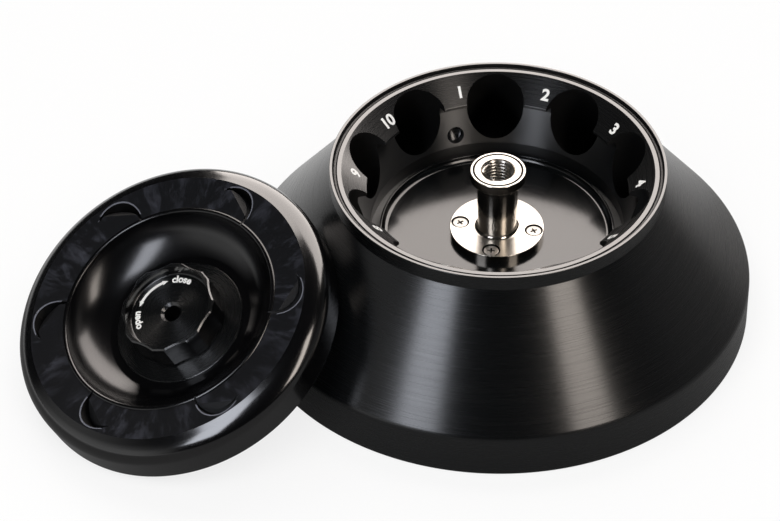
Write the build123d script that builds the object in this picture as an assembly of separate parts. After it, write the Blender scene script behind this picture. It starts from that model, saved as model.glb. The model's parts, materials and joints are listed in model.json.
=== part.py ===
from build123d import *
import os
from math import atan2, cos, degrees, radians, sin, sqrt, tan

# Fixed-angle centrifuge rotor for ten 50 ml tubes, with its screw-down lid taken off.
# Millimetres. Z is the rotor's spin axis and the origin is the mouth of the shaft bore,
# in the plane of the rotor's base. The lid leans against the rotor's skirt.

# --- rotor body: outside ------------------------------------------------------------------
BASE_R = 129.0                  # vertical band at the foot
BAND_TOP = 23.2                 # where the band meets the conical skirt
BAND_ROUND = 5.0                # rounding between band and skirt
FOOT_CHAMFER = 1.5
SKIRT_TOP_R = 83.7              # the skirt ends in a fine step under the collar
COLLAR_R = 84.3
COLLAR_BOTTOM = 80.5
RIM_TOP = 88.4                  # top of the outer lip
LIP_W = 1.5
EDGE_BREAK = 0.3                # fine chamfer on turned edges

# --- rotor body: seal groove and land that carry the lid ----------------------------------
SEAL_GROOVE_W = 2.3
SEAL_GROOVE_DEPTH = 2.0         # below the land
LAND_TOP = 86.9
LAND_INNER_R = 78.3

# --- rotor body: bowl ---------------------------------------------------------------------
MOUTH_R = 77.7                  # top of the conical numbered face, below a fine chamfer
MOUTH_TOP = 86.4
STEP_R = 65.6                   # lower edge of the numbered face
STEP_TOP = 76.0
STEP_LIP = 1.6
UNDERCUT_R = 70.4
WALL_TOP = 70.8                 # tapered lower wall
WALL_BOTTOM_R = 63.9
WALL_BOTTOM = 51.6
GUTTER_FLOOR = 44.2             # turned gutter around the floor disc
RIDGE_TOP = 48.4
RIDGE_OUT_R = 59.4
RIDGE_IN_R = 58.3
FLOOR_TOP = 45.2
FLOOR_FILLET = 3.2

# --- rotor body: tube pockets and balance hole --------------------------------------------
POCKET_COUNT = 10
POCKET_R = 14.7                 # for 50 ml round-bottomed tubes
POCKET_TILT = 36.0              # from the spin axis
POCKET_AXIS_R = 66.5            # where a pocket's axis crosses the height STEP_TOP
POCKET_DEPTH = 70.0             # from there to the centre of the round bottom
FIRST_POCKET_AZIMUTH = 91.8     # pocket 1; the numbers run clockwise seen from above
BALANCE_HOLE_R = 4.5
BALANCE_HOLE_Z = 57.4
BALANCE_HOLE_DEPTH = 5.0
DRILL_POINT = 31.0              # slope of a twist drill's point, degrees

# --- rotor body: underside ----------------------------------------------------------------
BOSS_R = 30.0
RECESS_CEILING = 35.0
RECESS_TOP_R = 66.0
RECESS_KNEE_R = 81.5
RECESS_KNEE_Z = 15.0
RECESS_MOUTH_R = 84.0

# --- drive sleeve and tie-down bolt -------------------------------------------------------
SHAFT_R = 10.0
SHAFT_LAND = 11.5               # lower of the two lands that guide the motor shaft
SHAFT_RELIEF_W = 3.0
SHAFT_RELIEF_DEPTH = 0.6
SLEEVE_R = 16.0
SLEEVE_TOP = 30.0
SLEEVE_FLANGE_R = 24.5
SLEEVE_FLANGE_T = 4.0
SLEEVE_PCD_R = 20.2
DOWEL_R = 2.0
DOWEL_INSET = 0.3
DRIVE_SLOT_W = 6.0              # for the cross pin of the motor shaft
DRIVE_SLOT_DEPTH = 3.0
BOLT_R = 4.0                    # M8 x 30 socket head
BOLT_LENGTH = 30.0
BOLT_HEAD_R = 6.5
BOLT_HEAD_H = 8.0
BOLT_HOLE_R = 4.3
BOLT_HEAD_CHAMFER = 0.6
BOLT_TIP_CHAMFER = 0.8
BOLT_KEY_R = 3.0                # half the width across flats
BOLT_KEY_DEPTH = 5.0
BOLT_PLAY = 0.1                 # between head and washer, so that the bolt turns freely
WASHER_T = 1.6

# --- hub ----------------------------------------------------------------------------------
FLANGE_R = 23.8
FLANGE_TOP = 49.2
SPIGOT_R = 12.0
SPIGOT_BOTTOM = 38.0
POST_FOOT_R = 11.8
POST_WAIST_R = 9.7
POST_TOP_R = 10.5
NECK_R = 10.9
NECK_BOTTOM = 76.6
HEAD_TAPER_BOTTOM = 78.8
HEAD_R = 13.9
HEAD_BAND_BOTTOM = 81.0
HEAD_TOP = 86.0
HEAD_GROOVE_R = 12.25
HEAD_GROOVE_W = 0.8
HEAD_GROOVE_DEPTH = 1.0
THREAD_MINOR_R = 6.9            # M16 x 2
THREAD_MOUTH_R = 8.7
THREAD_BOTTOM = 60.0
CHAMBER_R = 7.5                 # hollow post below the thread
CHAMBER_BOTTOM = 41.0
SNAP_RING_Z = 52.7
SNAP_RING_T = 1.0
SNAP_RING_GROOVE = 0.7
SNAP_RING_INNER_R = 5.2
SNAP_RING_GAP = 5.0
SNAP_RING_PLAY = 0.1
FLANGE_SEAL_R = 14.7
FLANGE_SEAL_CORD_R = 0.85
FLANGE_SEAL_PLAY = 0.2

# --- countersunk screws of hub and sleeve -------------------------------------------------
SCREW_R = 2.0
SCREW_HEAD_R = 3.9
SCREW_RIM_T = 0.5               # short cylinder above the 45 degree cone
SCREW_SINK = 0.15               # head below the face that it holds
SINK_CLEARANCE = 0.3
HUB_SCREW_COUNT = 4
HUB_SCREW_PCD_R = 18.8
HUB_SCREW_AZIMUTH = -8.2
HUB_SCREW_LENGTH = 9.6
SLEEVE_SCREW_COUNT = 4
SLEEVE_SCREW_AZIMUTH = 45.0
SLEEVE_SCREW_LENGTH = 11.0

# --- lid, in its own frame: Z out of its top, 0 on the centre plate -----------------------
LID_R = 81.9
LID_SEAT = -5.7                 # face that sits on the rotor's land
LID_EDGE = 0.8
LID_WALL_TOP = 6.0
LID_CREST_R = 74.4
LID_CREST = 17.7
CREST_ARC_R = 5.6               # outer arc over the crest
RING_OUTER_R = 72.3
RING_OUTER_Z = 16.9
RING_INNER_R = 56.2
RING_INNER_Z = 15.2
BEAD_R = 55.0                   # rounded bead between ring and bowl
BEAD_TOP = 15.9
BOWL_TOP_R = 53.7
BOWL_TOP_Z = 14.6
BOWL_MID_R = 46.5
BOWL_MID_Z = 4.4
BOWL_FOOT_R = 36.6
BOWL_FLOOR = -1.0
SHELL_T = 4.4
LID_SPIGOT_R = 77.0             # tapered spigot that centres the lid in the rotor's mouth
LID_SPIGOT_TIP_R = 73.0
LID_SPIGOT_TIP_Z = -9.6
CAVITY_R = 71.0
CAVITY_WALL_TOP = 7.4
CAVITY_OUTER_R = 68.0           # sloped ceiling of the cavity
CAVITY_OUTER_Z = 10.6
CAVITY_INNER_R = 57.3
CAVITY_INNER_Z = 9.2
LID_BOSS_R = 26.0
LID_BOSS_BOTTOM = -6.4
CENTRE_PLATE_R = 33.3
CENTRE_PLATE_T = 3.0
CENTRE_SEAL_CORD_R = 0.8
CENTRE_GROOVE_W = 1.8
CENTRE_GROOVE_DEPTH = 1.4
SWIRL_COUNT = 6
SWIRL_R = 63.0                  # pitch radius of the crescent pockets
SWIRL_AZIMUTH = 37.5
SWIRL_OFFSET = 0.7              # along the circumference
SWIRL_CUTTER_R = 12.5
SWIRL_CHORD = 21.2
SWIRL_SKEW = 34.5               # chord against the circumference
SWIRL_TILT = 32.0               # of the flat-ended cutter
SWIRL_CUTTER_LENGTH = 14.0

# --- spindle in the lid -------------------------------------------------------------------
JOURNAL_R = 7.0
JOURNAL_FIT = 0.05
JOURNAL_TOP = 8.3               # the spindle's upper end, inside the knob
JOURNAL_BOTTOM = -7.0
SPINDLE_RELIEF_R = 6.6
SPINDLE_THREAD_R = 7.8
SPINDLE_THREAD_TOP = -9.5
SPINDLE_BOTTOM = -26.0
SPINDLE_TIP_R = 6.6
BUSH_R = 8.6
BUSH_TOP = -0.2
BUSH_BOTTOM = -4.0
RETAINER_RECESS_R = 9.8
THRUST_WASHER_R = 9.6
THRUST_WASHER_T = 1.0
RETAINER_R = 9.2
RETAINER_GROOVE_R = 6.2
RETAINER_TOP = -5.1
RETAINER_T = 1.0
RETAINER_GAP = 8.0
RETAINER_PLAY = 0.05
THREAD_CHAMFER = 1.2

# --- knob ---------------------------------------------------------------------------------
KNOB_LAND_R = 24.5
KNOB_SCALLOP_DEPTH = 1.5
KNOB_LANDS = 8
KNOB_LAND_ANGLE = 14.5
KNOB_LAND_AZIMUTH = 33.8
KNOB_BOTTOM = 1.3
KNOB_TOP = 16.6
KNOB_RIM_CHAMFER = 0.7
KNOB_DISH_R = 22.1              # at the rim
KNOB_FACE_R = 21.4              # at the foot of the dish
KNOB_FACE = 10.5
KNOB_FACE_CORNER = 0.6
KNOB_SOCKET_R = 11.5            # boss around the spindle
KNOB_UNDERCUT_R = 19.0
KNOB_UNDERCUT_TOP = 6.0
KEY_HOLE_R = 4.3
KEY_HOLE_MOUTH_R = 5.6
GLIDE_WASHER_R = 18.0
GLIDE_WASHER_T = 1.0
KNOB_PIN_R = 1.5
KNOB_PIN_Z = 4.2
KNOB_PIN_INNER_R = 5.0
KNOB_PIN_INSET = 0.2            # below the boss's outside

# --- where the lid leans ------------------------------------------------------------------
LID_TILT = 26.1                 # lid axis against the vertical
LID_LEAN_AZIMUTH = 45.6         # horizontal direction in which the lid slopes up
LID_CENTRE = (-155.9, -67.8)    # middle of the lid's centre plate, seen from above
FLOOR_GAP = 0.05

RUN = 0.3                       # clearance between parts that move past each other


# --- helpers ------------------------------------------------------------------------------

def at(r, z):
    """Point of a radial section."""
    return (r, 0, z)


def revolved(*edges):
    """Solid of revolution about Z of a closed chain of edges in the XZ plane."""
    return revolve(make_face(Curve() + list(edges)), Axis.Z)


def turned(points):
    """Solid of revolution about Z of a closed outline of (radius, height) points."""
    return revolved(Polyline(*[at(*point) for point in points], close=True))


def flat_ring(inner, outer, bottom, top):
    return turned([(inner, bottom), (outer, bottom), (outer, top), (inner, top)])


def o_ring(radius, cord_r, bottom):
    return Pos(0, 0, bottom + cord_r) * Torus(radius, cord_r)


def snap_ring(inner, outer, bottom, thickness, gap):
    """Flat retaining ring with a gap that faces -Y."""
    slot = Box(gap, 2 * (outer - inner) + 2, 2 * thickness)
    opening = Pos(0, -outer, bottom + thickness / 2) * slot
    return flat_ring(inner, outer, bottom, bottom + thickness) - opening


def around(shape, count, radius, start=0.0):
    """Copies of a shape, set at a radius and turned about Z."""
    outset = Pos(radius, 0, 0) * shape
    return [Rot(0, 0, start + i * 360.0 / count) * outset for i in range(count)]


def upright(radius, bottom, top):
    """Cylinder between two heights."""
    return Pos(0, 0, (bottom + top) / 2) * Cylinder(radius, top - bottom)


def cone_up(bottom_r, top_r, bottom, top):
    """Cone between two heights."""
    return Pos(0, 0, (bottom + top) / 2) * Cone(bottom_r, top_r, top - bottom)


def screw_hole(face, length):
    """Countersunk through hole; its 45 degree seat fits a screw's head."""
    seat_bottom = face - SCREW_SINK - SCREW_RIM_T - (SCREW_HEAD_R - SCREW_R)
    mouth_r = SCREW_HEAD_R + SINK_CLEARANCE
    seat_top = seat_bottom + mouth_r - SCREW_R
    seat = cone_up(SCREW_R, mouth_r, seat_bottom, seat_top)
    return upright(SCREW_R, face - length, face) + seat + upright(mouth_r, seat_top, face + 1)


def countersunk_screw(face, length):
    """Countersunk screw, its head just under the face that it holds."""
    top = face - SCREW_SINK
    cone_top = top - SCREW_RIM_T
    cone_bottom = cone_top - (SCREW_HEAD_R - SCREW_R)
    head = cone_up(SCREW_R, SCREW_HEAD_R, cone_bottom, cone_top)
    head += upright(SCREW_HEAD_R, cone_top, top)
    return head + upright(SCREW_R, face - length, cone_bottom)


# --- rotor --------------------------------------------------------------------------------

def rotor_blank():
    """Turned blank: foot band, skirt, collar, seal groove, bowl and hollow underside."""
    groove_out = COLLAR_R - LIP_W
    groove_in = groove_out - SEAL_GROOVE_W
    groove_floor = LAND_TOP - SEAL_GROOVE_DEPTH
    slope = atan2(BASE_R - SKIRT_TOP_R, COLLAR_BOTTOM - BAND_TOP)
    setback = BAND_ROUND * tan(slope / 2)
    band_end = at(BASE_R, BAND_TOP - setback)
    skirt_start = at(BASE_R - setback * sin(slope), BAND_TOP + setback * cos(slope))
    fillet_top = at(RIDGE_IN_R, FLOOR_TOP + FLOOR_FILLET)
    fillet_foot = at(RIDGE_IN_R - FLOOR_FILLET, FLOOR_TOP)

    underside = Polyline(
        at(SLEEVE_R, 0),
        at(BOSS_R, 0),
        at(BOSS_R, RECESS_CEILING),
        at(RECESS_TOP_R, RECESS_CEILING),
        at(RECESS_KNEE_R, RECESS_KNEE_Z),
        at(RECESS_MOUTH_R, 0),
        at(BASE_R - FOOT_CHAMFER, 0),
        at(BASE_R, FOOT_CHAMFER),
        band_end,
    )
    band_round = TangentArc(band_end, skirt_start, tangent=(0, 0, 1))
    rim = Polyline(
        skirt_start,
        at(SKIRT_TOP_R, COLLAR_BOTTOM),
        at(COLLAR_R, COLLAR_BOTTOM),
        at(COLLAR_R, RIM_TOP - EDGE_BREAK),
        at(COLLAR_R - EDGE_BREAK, RIM_TOP),
        at(groove_out, RIM_TOP),
        at(groove_out, groove_floor),
        at(groove_in, groove_floor),
        at(groove_in, LAND_TOP),
        at(LAND_INNER_R, LAND_TOP),
        at(MOUTH_R, MOUTH_TOP),
    )
    bowl = Polyline(
        at(MOUTH_R, MOUTH_TOP),
        at(STEP_R, STEP_TOP),
        at(STEP_R, STEP_TOP - STEP_LIP),
        at(UNDERCUT_R, STEP_TOP - STEP_LIP),
        at(UNDERCUT_R, WALL_TOP),
        at(WALL_BOTTOM_R, WALL_BOTTOM),
        at(WALL_BOTTOM_R, GUTTER_FLOOR),
        at(RIDGE_OUT_R, GUTTER_FLOOR),
        at(RIDGE_OUT_R, RIDGE_TOP),
        fillet_top,
    )
    floor_fillet = TangentArc(fillet_top, fillet_foot, tangent=(0, 0, -1))
    centre = Polyline(
        fillet_foot,
        at(SPIGOT_R, FLOOR_TOP),
        at(SPIGOT_R, SPIGOT_BOTTOM),
        at(BOLT_HOLE_R, SPIGOT_BOTTOM),
        at(BOLT_HOLE_R, SLEEVE_TOP),
        at(SLEEVE_R, SLEEVE_TOP),
        at(SLEEVE_R, 0),
    )
    return revolved(underside, band_round, rim, bowl, floor_fillet, centre)


def pocket_azimuth(number):
    return FIRST_POCKET_AZIMUTH - 360.0 / POCKET_COUNT * (number - 1)


def tube_pocket(number):
    """Round-bottomed cutter of one tube pocket, leaning in towards the spin axis."""
    bottom = Pos(0, 0, -POCKET_DEPTH) * Sphere(POCKET_R)
    cutter = upright(POCKET_R, -POCKET_DEPTH, POCKET_DEPTH) + bottom
    lean = Pos(POCKET_AXIS_R, 0, STEP_TOP) * Rot(0, -POCKET_TILT, 0)
    return Rot(0, 0, pocket_azimuth(number)) * lean * cutter


def balance_hole():
    """Blind drilled hole, square to the tapered wall, midway between pockets 10 and 1."""
    taper = atan2(UNDERCUT_R - WALL_BOTTOM_R, WALL_TOP - WALL_BOTTOM)
    wall_r = WALL_BOTTOM_R + (BALANCE_HOLE_Z - WALL_BOTTOM) * tan(taper)
    point_h = BALANCE_HOLE_R * tan(radians(DRILL_POINT))
    point = cone_up(0.01, BALANCE_HOLE_R, -BALANCE_HOLE_DEPTH - point_h, -BALANCE_HOLE_DEPTH)
    drill = upright(BALANCE_HOLE_R, -BALANCE_HOLE_DEPTH, BALANCE_HOLE_DEPTH) + point
    lean = Pos(wall_r, 0, BALANCE_HOLE_Z) * Rot(0, -90 + degrees(taper), 0)
    return Rot(0, 0, pocket_azimuth(0.5)) * lean * drill


def drive_slot():
    return Box(2 * BOSS_R + 2, DRIVE_SLOT_W, 2 * DRIVE_SLOT_DEPTH)


def dowel_holes():
    return around(upright(DOWEL_R, 0, SLEEVE_SCREW_LENGTH), 2, SLEEVE_PCD_R, 90)


def rotor_body():
    body = rotor_blank()
    body -= [tube_pocket(number) for number in range(1, POCKET_COUNT + 1)]
    body -= balance_hole()
    body -= upright(SLEEVE_FLANGE_R, -1, SLEEVE_FLANGE_T)
    body -= drive_slot()
    hub_tap = upright(SCREW_R, FLANGE_TOP - HUB_SCREW_LENGTH - 1, FLOOR_TOP + 1)
    body -= around(hub_tap, HUB_SCREW_COUNT, HUB_SCREW_PCD_R, HUB_SCREW_AZIMUTH)
    sleeve_tap = upright(SCREW_R, 0, SLEEVE_SCREW_LENGTH + 1)
    body -= around(sleeve_tap, SLEEVE_SCREW_COUNT, SLEEVE_PCD_R, SLEEVE_SCREW_AZIMUTH)
    body -= dowel_holes()
    half_w = FLANGE_SEAL_CORD_R + FLANGE_SEAL_PLAY
    groove_floor = FLOOR_TOP - 2 * FLANGE_SEAL_CORD_R
    body -= flat_ring(FLANGE_SEAL_R - half_w, FLANGE_SEAL_R + half_w, groove_floor, FLOOR_TOP + 1)
    return body


def rim_seal():
    """O-ring that lies in the groove between lip and land."""
    cord_r = SEAL_GROOVE_DEPTH / 2 - 0.05
    return o_ring(COLLAR_R - LIP_W - SEAL_GROOVE_W / 2, cord_r, LAND_TOP - SEAL_GROOVE_DEPTH)


def hub_flange_seal():
    return o_ring(FLANGE_SEAL_R, FLANGE_SEAL_CORD_R - 0.01, FLOOR_TOP - 2 * FLANGE_SEAL_CORD_R)


# --- drive sleeve and tie-down bolt -------------------------------------------------------

def shaft_sleeve():
    """Steel sleeve with two lands for the motor shaft, slotted for the shaft's cross pin."""
    relief_top = SHAFT_LAND + SHAFT_RELIEF_W
    sleeve = turned([
        (SHAFT_R, 0),
        (SLEEVE_FLANGE_R, 0),
        (SLEEVE_FLANGE_R, SLEEVE_FLANGE_T),
        (SLEEVE_R, SLEEVE_FLANGE_T),
        (SLEEVE_R, SLEEVE_TOP),
        (SHAFT_R, SLEEVE_TOP),
        (SHAFT_R, relief_top),
        (SHAFT_R + SHAFT_RELIEF_DEPTH, relief_top),
        (SHAFT_R + SHAFT_RELIEF_DEPTH, SHAFT_LAND),
        (SHAFT_R, SHAFT_LAND),
    ])
    sleeve -= drive_slot()
    hole = Rot(180, 0, 0) * screw_hole(0, SLEEVE_FLANGE_T + 2)
    sleeve -= around(hole, SLEEVE_SCREW_COUNT, SLEEVE_PCD_R, SLEEVE_SCREW_AZIMUTH)
    sleeve -= dowel_holes()
    return sleeve


def sleeve_screws():
    screw = Rot(180, 0, 0) * countersunk_screw(0, SLEEVE_SCREW_LENGTH)
    return around(screw, SLEEVE_SCREW_COUNT, SLEEVE_PCD_R, SLEEVE_SCREW_AZIMUTH)


def sleeve_dowels():
    """Two dowels that carry the torque from sleeve to body."""
    dowel = upright(DOWEL_R, DOWEL_INSET, SLEEVE_SCREW_LENGTH - DOWEL_INSET)
    return around(dowel, 2, SLEEVE_PCD_R, 90)


def bolt_washer():
    return flat_ring(BOLT_HOLE_R, CHAMBER_R - 0.2, CHAMBER_BOTTOM, CHAMBER_BOTTOM + WASHER_T)


def rotor_bolt():
    """Captive socket-head bolt that draws the rotor down on the motor shaft."""
    seat = CHAMBER_BOTTOM + WASHER_T + BOLT_PLAY
    head = upright(BOLT_HEAD_R, seat, seat + BOLT_HEAD_H)
    head = chamfer(head.edges().group_by(Axis.Z)[-1], BOLT_HEAD_CHAMFER)
    shank = upright(BOLT_R, seat - BOLT_LENGTH, seat)
    shank = chamfer(shank.edges().group_by(Axis.Z)[0], BOLT_TIP_CHAMFER)
    hexagon = RegularPolygon(BOLT_KEY_R, 6, major_radius=False)
    key = Pos(0, 0, seat + BOLT_HEAD_H) * extrude(hexagon, amount=-BOLT_KEY_DEPTH)
    return head + shank - key


def bolt_snap_ring():
    """Ring above the bolt's head: unscrewed, the bolt lifts the rotor off its shaft."""
    outer = CHAMBER_R + SNAP_RING_GROOVE - SNAP_RING_PLAY
    return snap_ring(SNAP_RING_INNER_R, outer, SNAP_RING_Z, SNAP_RING_T, SNAP_RING_GAP)


# --- hub ----------------------------------------------------------------------------------

def hub_post():
    """Stainless hub: flange on the bowl's floor, waisted post, grooved head, M16 thread."""
    groove_out = HEAD_GROOVE_R + HEAD_GROOVE_W / 2
    groove_in = HEAD_GROOVE_R - HEAD_GROOVE_W / 2
    foot_h = POST_FOOT_R - POST_WAIST_R
    foot = at(POST_FOOT_R, FLANGE_TOP)
    waist = at(POST_WAIST_R, FLANGE_TOP + foot_h)
    flange = Polyline(
        at(BOLT_HOLE_R, SPIGOT_BOTTOM),
        at(SPIGOT_R, SPIGOT_BOTTOM),
        at(SPIGOT_R, FLOOR_TOP),
        at(FLANGE_R, FLOOR_TOP),
        at(FLANGE_R, FLANGE_TOP - EDGE_BREAK),
        at(FLANGE_R - EDGE_BREAK, FLANGE_TOP),
        foot,
    )
    foot_fillet = TangentArc(foot, waist, tangent=(-1, 0, 0))
    head = Polyline(
        waist,
        at(POST_TOP_R, NECK_BOTTOM),
        at(NECK_R, NECK_BOTTOM),
        at(NECK_R, HEAD_TAPER_BOTTOM),
        at(HEAD_R, HEAD_BAND_BOTTOM),
        at(HEAD_R, HEAD_TOP - EDGE_BREAK),
        at(HEAD_R - EDGE_BREAK, HEAD_TOP),
        at(groove_out, HEAD_TOP),
        at(groove_out, HEAD_TOP - HEAD_GROOVE_DEPTH),
        at(groove_in, HEAD_TOP - HEAD_GROOVE_DEPTH),
        at(groove_in, HEAD_TOP),
        at(THREAD_MOUTH_R, HEAD_TOP),
        at(THREAD_MINOR_R, HEAD_TOP - THREAD_MOUTH_R + THREAD_MINOR_R),
        at(THREAD_MINOR_R, THREAD_BOTTOM),
        at(CHAMBER_R, THREAD_BOTTOM),
        at(CHAMBER_R, CHAMBER_BOTTOM),
        at(BOLT_HOLE_R, CHAMBER_BOTTOM),
        at(BOLT_HOLE_R, SPIGOT_BOTTOM),
    )
    post = revolved(flange, foot_fillet, head)
    ring_bottom = SNAP_RING_Z - SNAP_RING_PLAY
    ring_top = SNAP_RING_Z + SNAP_RING_T + SNAP_RING_PLAY
    post -= flat_ring(CHAMBER_R - 1, CHAMBER_R + SNAP_RING_GROOVE, ring_bottom, ring_top)
    hole = screw_hole(FLANGE_TOP, FLANGE_TOP - FLOOR_TOP + 1)
    post -= around(hole, HUB_SCREW_COUNT, HUB_SCREW_PCD_R, HUB_SCREW_AZIMUTH)
    return post


def hub_screws():
    screw = countersunk_screw(FLANGE_TOP, HUB_SCREW_LENGTH)
    return around(screw, HUB_SCREW_COUNT, HUB_SCREW_PCD_R, HUB_SCREW_AZIMUTH)


# --- lid, in its own frame ----------------------------------------------------------------

def shoulder_arcs():
    """Rolled shoulder: a slow arc up the wall, a tighter one over the crest, tangent to it."""
    width = LID_R - LID_CREST_R
    height = LID_CREST - LID_WALL_TOP - CREST_ARC_R
    wall_arc_r = (width ** 2 + height ** 2 - CREST_ARC_R ** 2) / (2 * (width - CREST_ARC_R))
    run = LID_CREST_R - (LID_R - wall_arc_r)
    reach = CREST_ARC_R / (wall_arc_r - CREST_ARC_R)
    foot = at(LID_R, LID_WALL_TOP)
    join = at(LID_CREST_R + run * reach, LID_CREST - CREST_ARC_R + height * reach)
    crest = at(LID_CREST_R, LID_CREST)
    wall_arc = TangentArc(foot, join, tangent=(0, 0, 1))
    crest_arc = TangentArc(join, crest, tangent=wall_arc % 1)
    return wall_arc, crest_arc, TangentArc(crest, at(RING_OUTER_R, RING_OUTER_Z), tangent=(-1, 0, 0))


def lid_blank():
    """Turned shell: rolled shoulder, flat ring, bead, bowl and hollow underside."""
    seal_groove_out = HEAD_GROOVE_R + CENTRE_GROOVE_W / 2
    seal_groove_in = HEAD_GROOVE_R - CENTRE_GROOVE_W / 2
    seal_groove_top = LID_BOSS_BOTTOM + CENTRE_GROOVE_DEPTH
    bowl_under = at(BOWL_FOOT_R - 2, BOWL_FLOOR - SHELL_T)
    bowl_under_mid = at(BOWL_MID_R + 0.6, BOWL_MID_Z - SHELL_T)
    bowl_under_top = at(CAVITY_INNER_R - 1.7, CAVITY_INNER_Z - 0.6)
    ring_inner = at(RING_INNER_R, RING_INNER_Z)
    bowl_top = at(BOWL_TOP_R, BOWL_TOP_Z)
    bowl_foot = at(BOWL_FOOT_R, BOWL_FLOOR)

    boss = Polyline(
        at(BUSH_R, BUSH_BOTTOM),
        at(RETAINER_RECESS_R, BUSH_BOTTOM),
        at(RETAINER_RECESS_R, LID_BOSS_BOTTOM),
        at(seal_groove_in, LID_BOSS_BOTTOM),
        at(seal_groove_in, seal_groove_top),
        at(seal_groove_out, seal_groove_top),
        at(seal_groove_out, LID_BOSS_BOTTOM),
        at(LID_BOSS_R, LID_BOSS_BOTTOM),
        bowl_under,
    )
    rim_under = Polyline(
        bowl_under_top,
        at(CAVITY_INNER_R, CAVITY_INNER_Z),
        at(CAVITY_OUTER_R, CAVITY_OUTER_Z),
        at(CAVITY_R, CAVITY_WALL_TOP),
        at(CAVITY_R, LID_SPIGOT_TIP_Z),
        at(LID_SPIGOT_TIP_R, LID_SPIGOT_TIP_Z),
        at(LID_SPIGOT_R, LID_SEAT - LID_EDGE),
        at(LID_SPIGOT_R, LID_SEAT),
        at(LID_R - LID_EDGE, LID_SEAT),
        at(LID_R, LID_SEAT + LID_EDGE),
        at(LID_R, LID_WALL_TOP),
    )
    centre = Polyline(
        bowl_foot,
        at(CENTRE_PLATE_R, BOWL_FLOOR),
        at(CENTRE_PLATE_R, -CENTRE_PLATE_T),
        at(BUSH_R, -CENTRE_PLATE_T),
        at(BUSH_R, BUSH_BOTTOM),
    )
    return revolved(
        boss,
        ThreePointArc(bowl_under, bowl_under_mid, bowl_under_top),
        rim_under,
        *shoulder_arcs(),
        Line(at(RING_OUTER_R, RING_OUTER_Z), ring_inner),
        ThreePointArc(ring_inner, at(BEAD_R, BEAD_TOP), bowl_top),
        ThreePointArc(bowl_top, at(BOWL_MID_R, BOWL_MID_Z), bowl_foot),
        centre,
    )


def swirl_cutters():
    """Flat-ended cutters, set askew: each leaves a crescent with a deep, curved outer side.

    At its pitch point a cutter's X runs outwards and its Y anticlockwise.
    """
    back = sqrt(SWIRL_CUTTER_R ** 2 - (SWIRL_CHORD / 2) ** 2)
    cutter = Pos(-back, 0, 0) * upright(SWIRL_CUTTER_R, 0, SWIRL_CUTTER_LENGTH)
    ring_z = (RING_OUTER_Z + RING_INNER_Z) / 2
    skewed = Pos(0, SWIRL_OFFSET, ring_z) * Rot(0, 0, -SWIRL_SKEW) * Rot(0, SWIRL_TILT, 0) * cutter
    return around(skewed, SWIRL_COUNT, SWIRL_R, SWIRL_AZIMUTH)


def lid_shell():
    return lid_blank() - swirl_cutters()


def lid_centre_plate():
    plate = flat_ring(BUSH_R, CENTRE_PLATE_R, -CENTRE_PLATE_T, 0)
    top_edges = plate.edges().filter_by(GeomType.CIRCLE).group_by(Axis.Z)[-1]
    return chamfer(top_edges.sort_by(SortBy.RADIUS)[-1], EDGE_BREAK)


def lid_centre_seal():
    """O-ring under the lid that seals on the hub's head."""
    bottom = LID_BOSS_BOTTOM + CENTRE_GROOVE_DEPTH - 2 * CENTRE_SEAL_CORD_R
    return o_ring(HEAD_GROOVE_R, CENTRE_SEAL_CORD_R, bottom)


# --- spindle and knob, in the lid's frame -------------------------------------------------

def spindle_bush():
    return flat_ring(JOURNAL_R + JOURNAL_FIT, BUSH_R, BUSH_BOTTOM, BUSH_TOP)


def thrust_washer():
    return flat_ring(JOURNAL_R + RUN, THRUST_WASHER_R, BUSH_BOTTOM - THRUST_WASHER_T, BUSH_BOTTOM)


def spindle_retainer():
    bottom = RETAINER_TOP - RETAINER_T
    return snap_ring(RETAINER_GROOVE_R, RETAINER_R, bottom, RETAINER_T, RETAINER_GAP)


def glide_washer():
    """Washer on which the knob turns."""
    return flat_ring(JOURNAL_R + RUN, GLIDE_WASHER_R, 0, GLIDE_WASHER_T)


def pin_holes(inner, outer):
    """Two round bars across the knob's boss, one each side of the key hole."""
    bar = Rot(0, 90, 0) * upright(KNOB_PIN_R, inner, outer)
    return [Rot(0, 0, turn) * Pos(0, 0, KNOB_PIN_Z) * bar for turn in (0, 180)]


def knob_spindle():
    """Hollow stainless spindle: plain journal in the lid, M16 screw below it."""
    groove_top = RETAINER_TOP + RETAINER_PLAY
    groove_bottom = RETAINER_TOP - RETAINER_T - RETAINER_PLAY
    spindle = turned([
        (KEY_HOLE_R, JOURNAL_TOP),
        (JOURNAL_R, JOURNAL_TOP),
        (JOURNAL_R, groove_top),
        (RETAINER_GROOVE_R, groove_top),
        (RETAINER_GROOVE_R, groove_bottom),
        (JOURNAL_R, groove_bottom),
        (JOURNAL_R, JOURNAL_BOTTOM),
        (SPINDLE_RELIEF_R, JOURNAL_BOTTOM - (JOURNAL_R - SPINDLE_RELIEF_R)),
        (SPINDLE_RELIEF_R, SPINDLE_THREAD_TOP + THREAD_CHAMFER),
        (SPINDLE_THREAD_R, SPINDLE_THREAD_TOP),
        (SPINDLE_THREAD_R, SPINDLE_BOTTOM + THREAD_CHAMFER),
        (SPINDLE_TIP_R, SPINDLE_BOTTOM),
        (KEY_HOLE_R, SPINDLE_BOTTOM),
    ])
    return spindle - pin_holes(KNOB_PIN_INNER_R - 0.1, JOURNAL_R + 1)


def knob_pins():
    """Two grooved pins that lock the knob on its spindle."""
    return pin_holes(KNOB_PIN_INNER_R, KNOB_SOCKET_R - KNOB_PIN_INSET)


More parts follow.
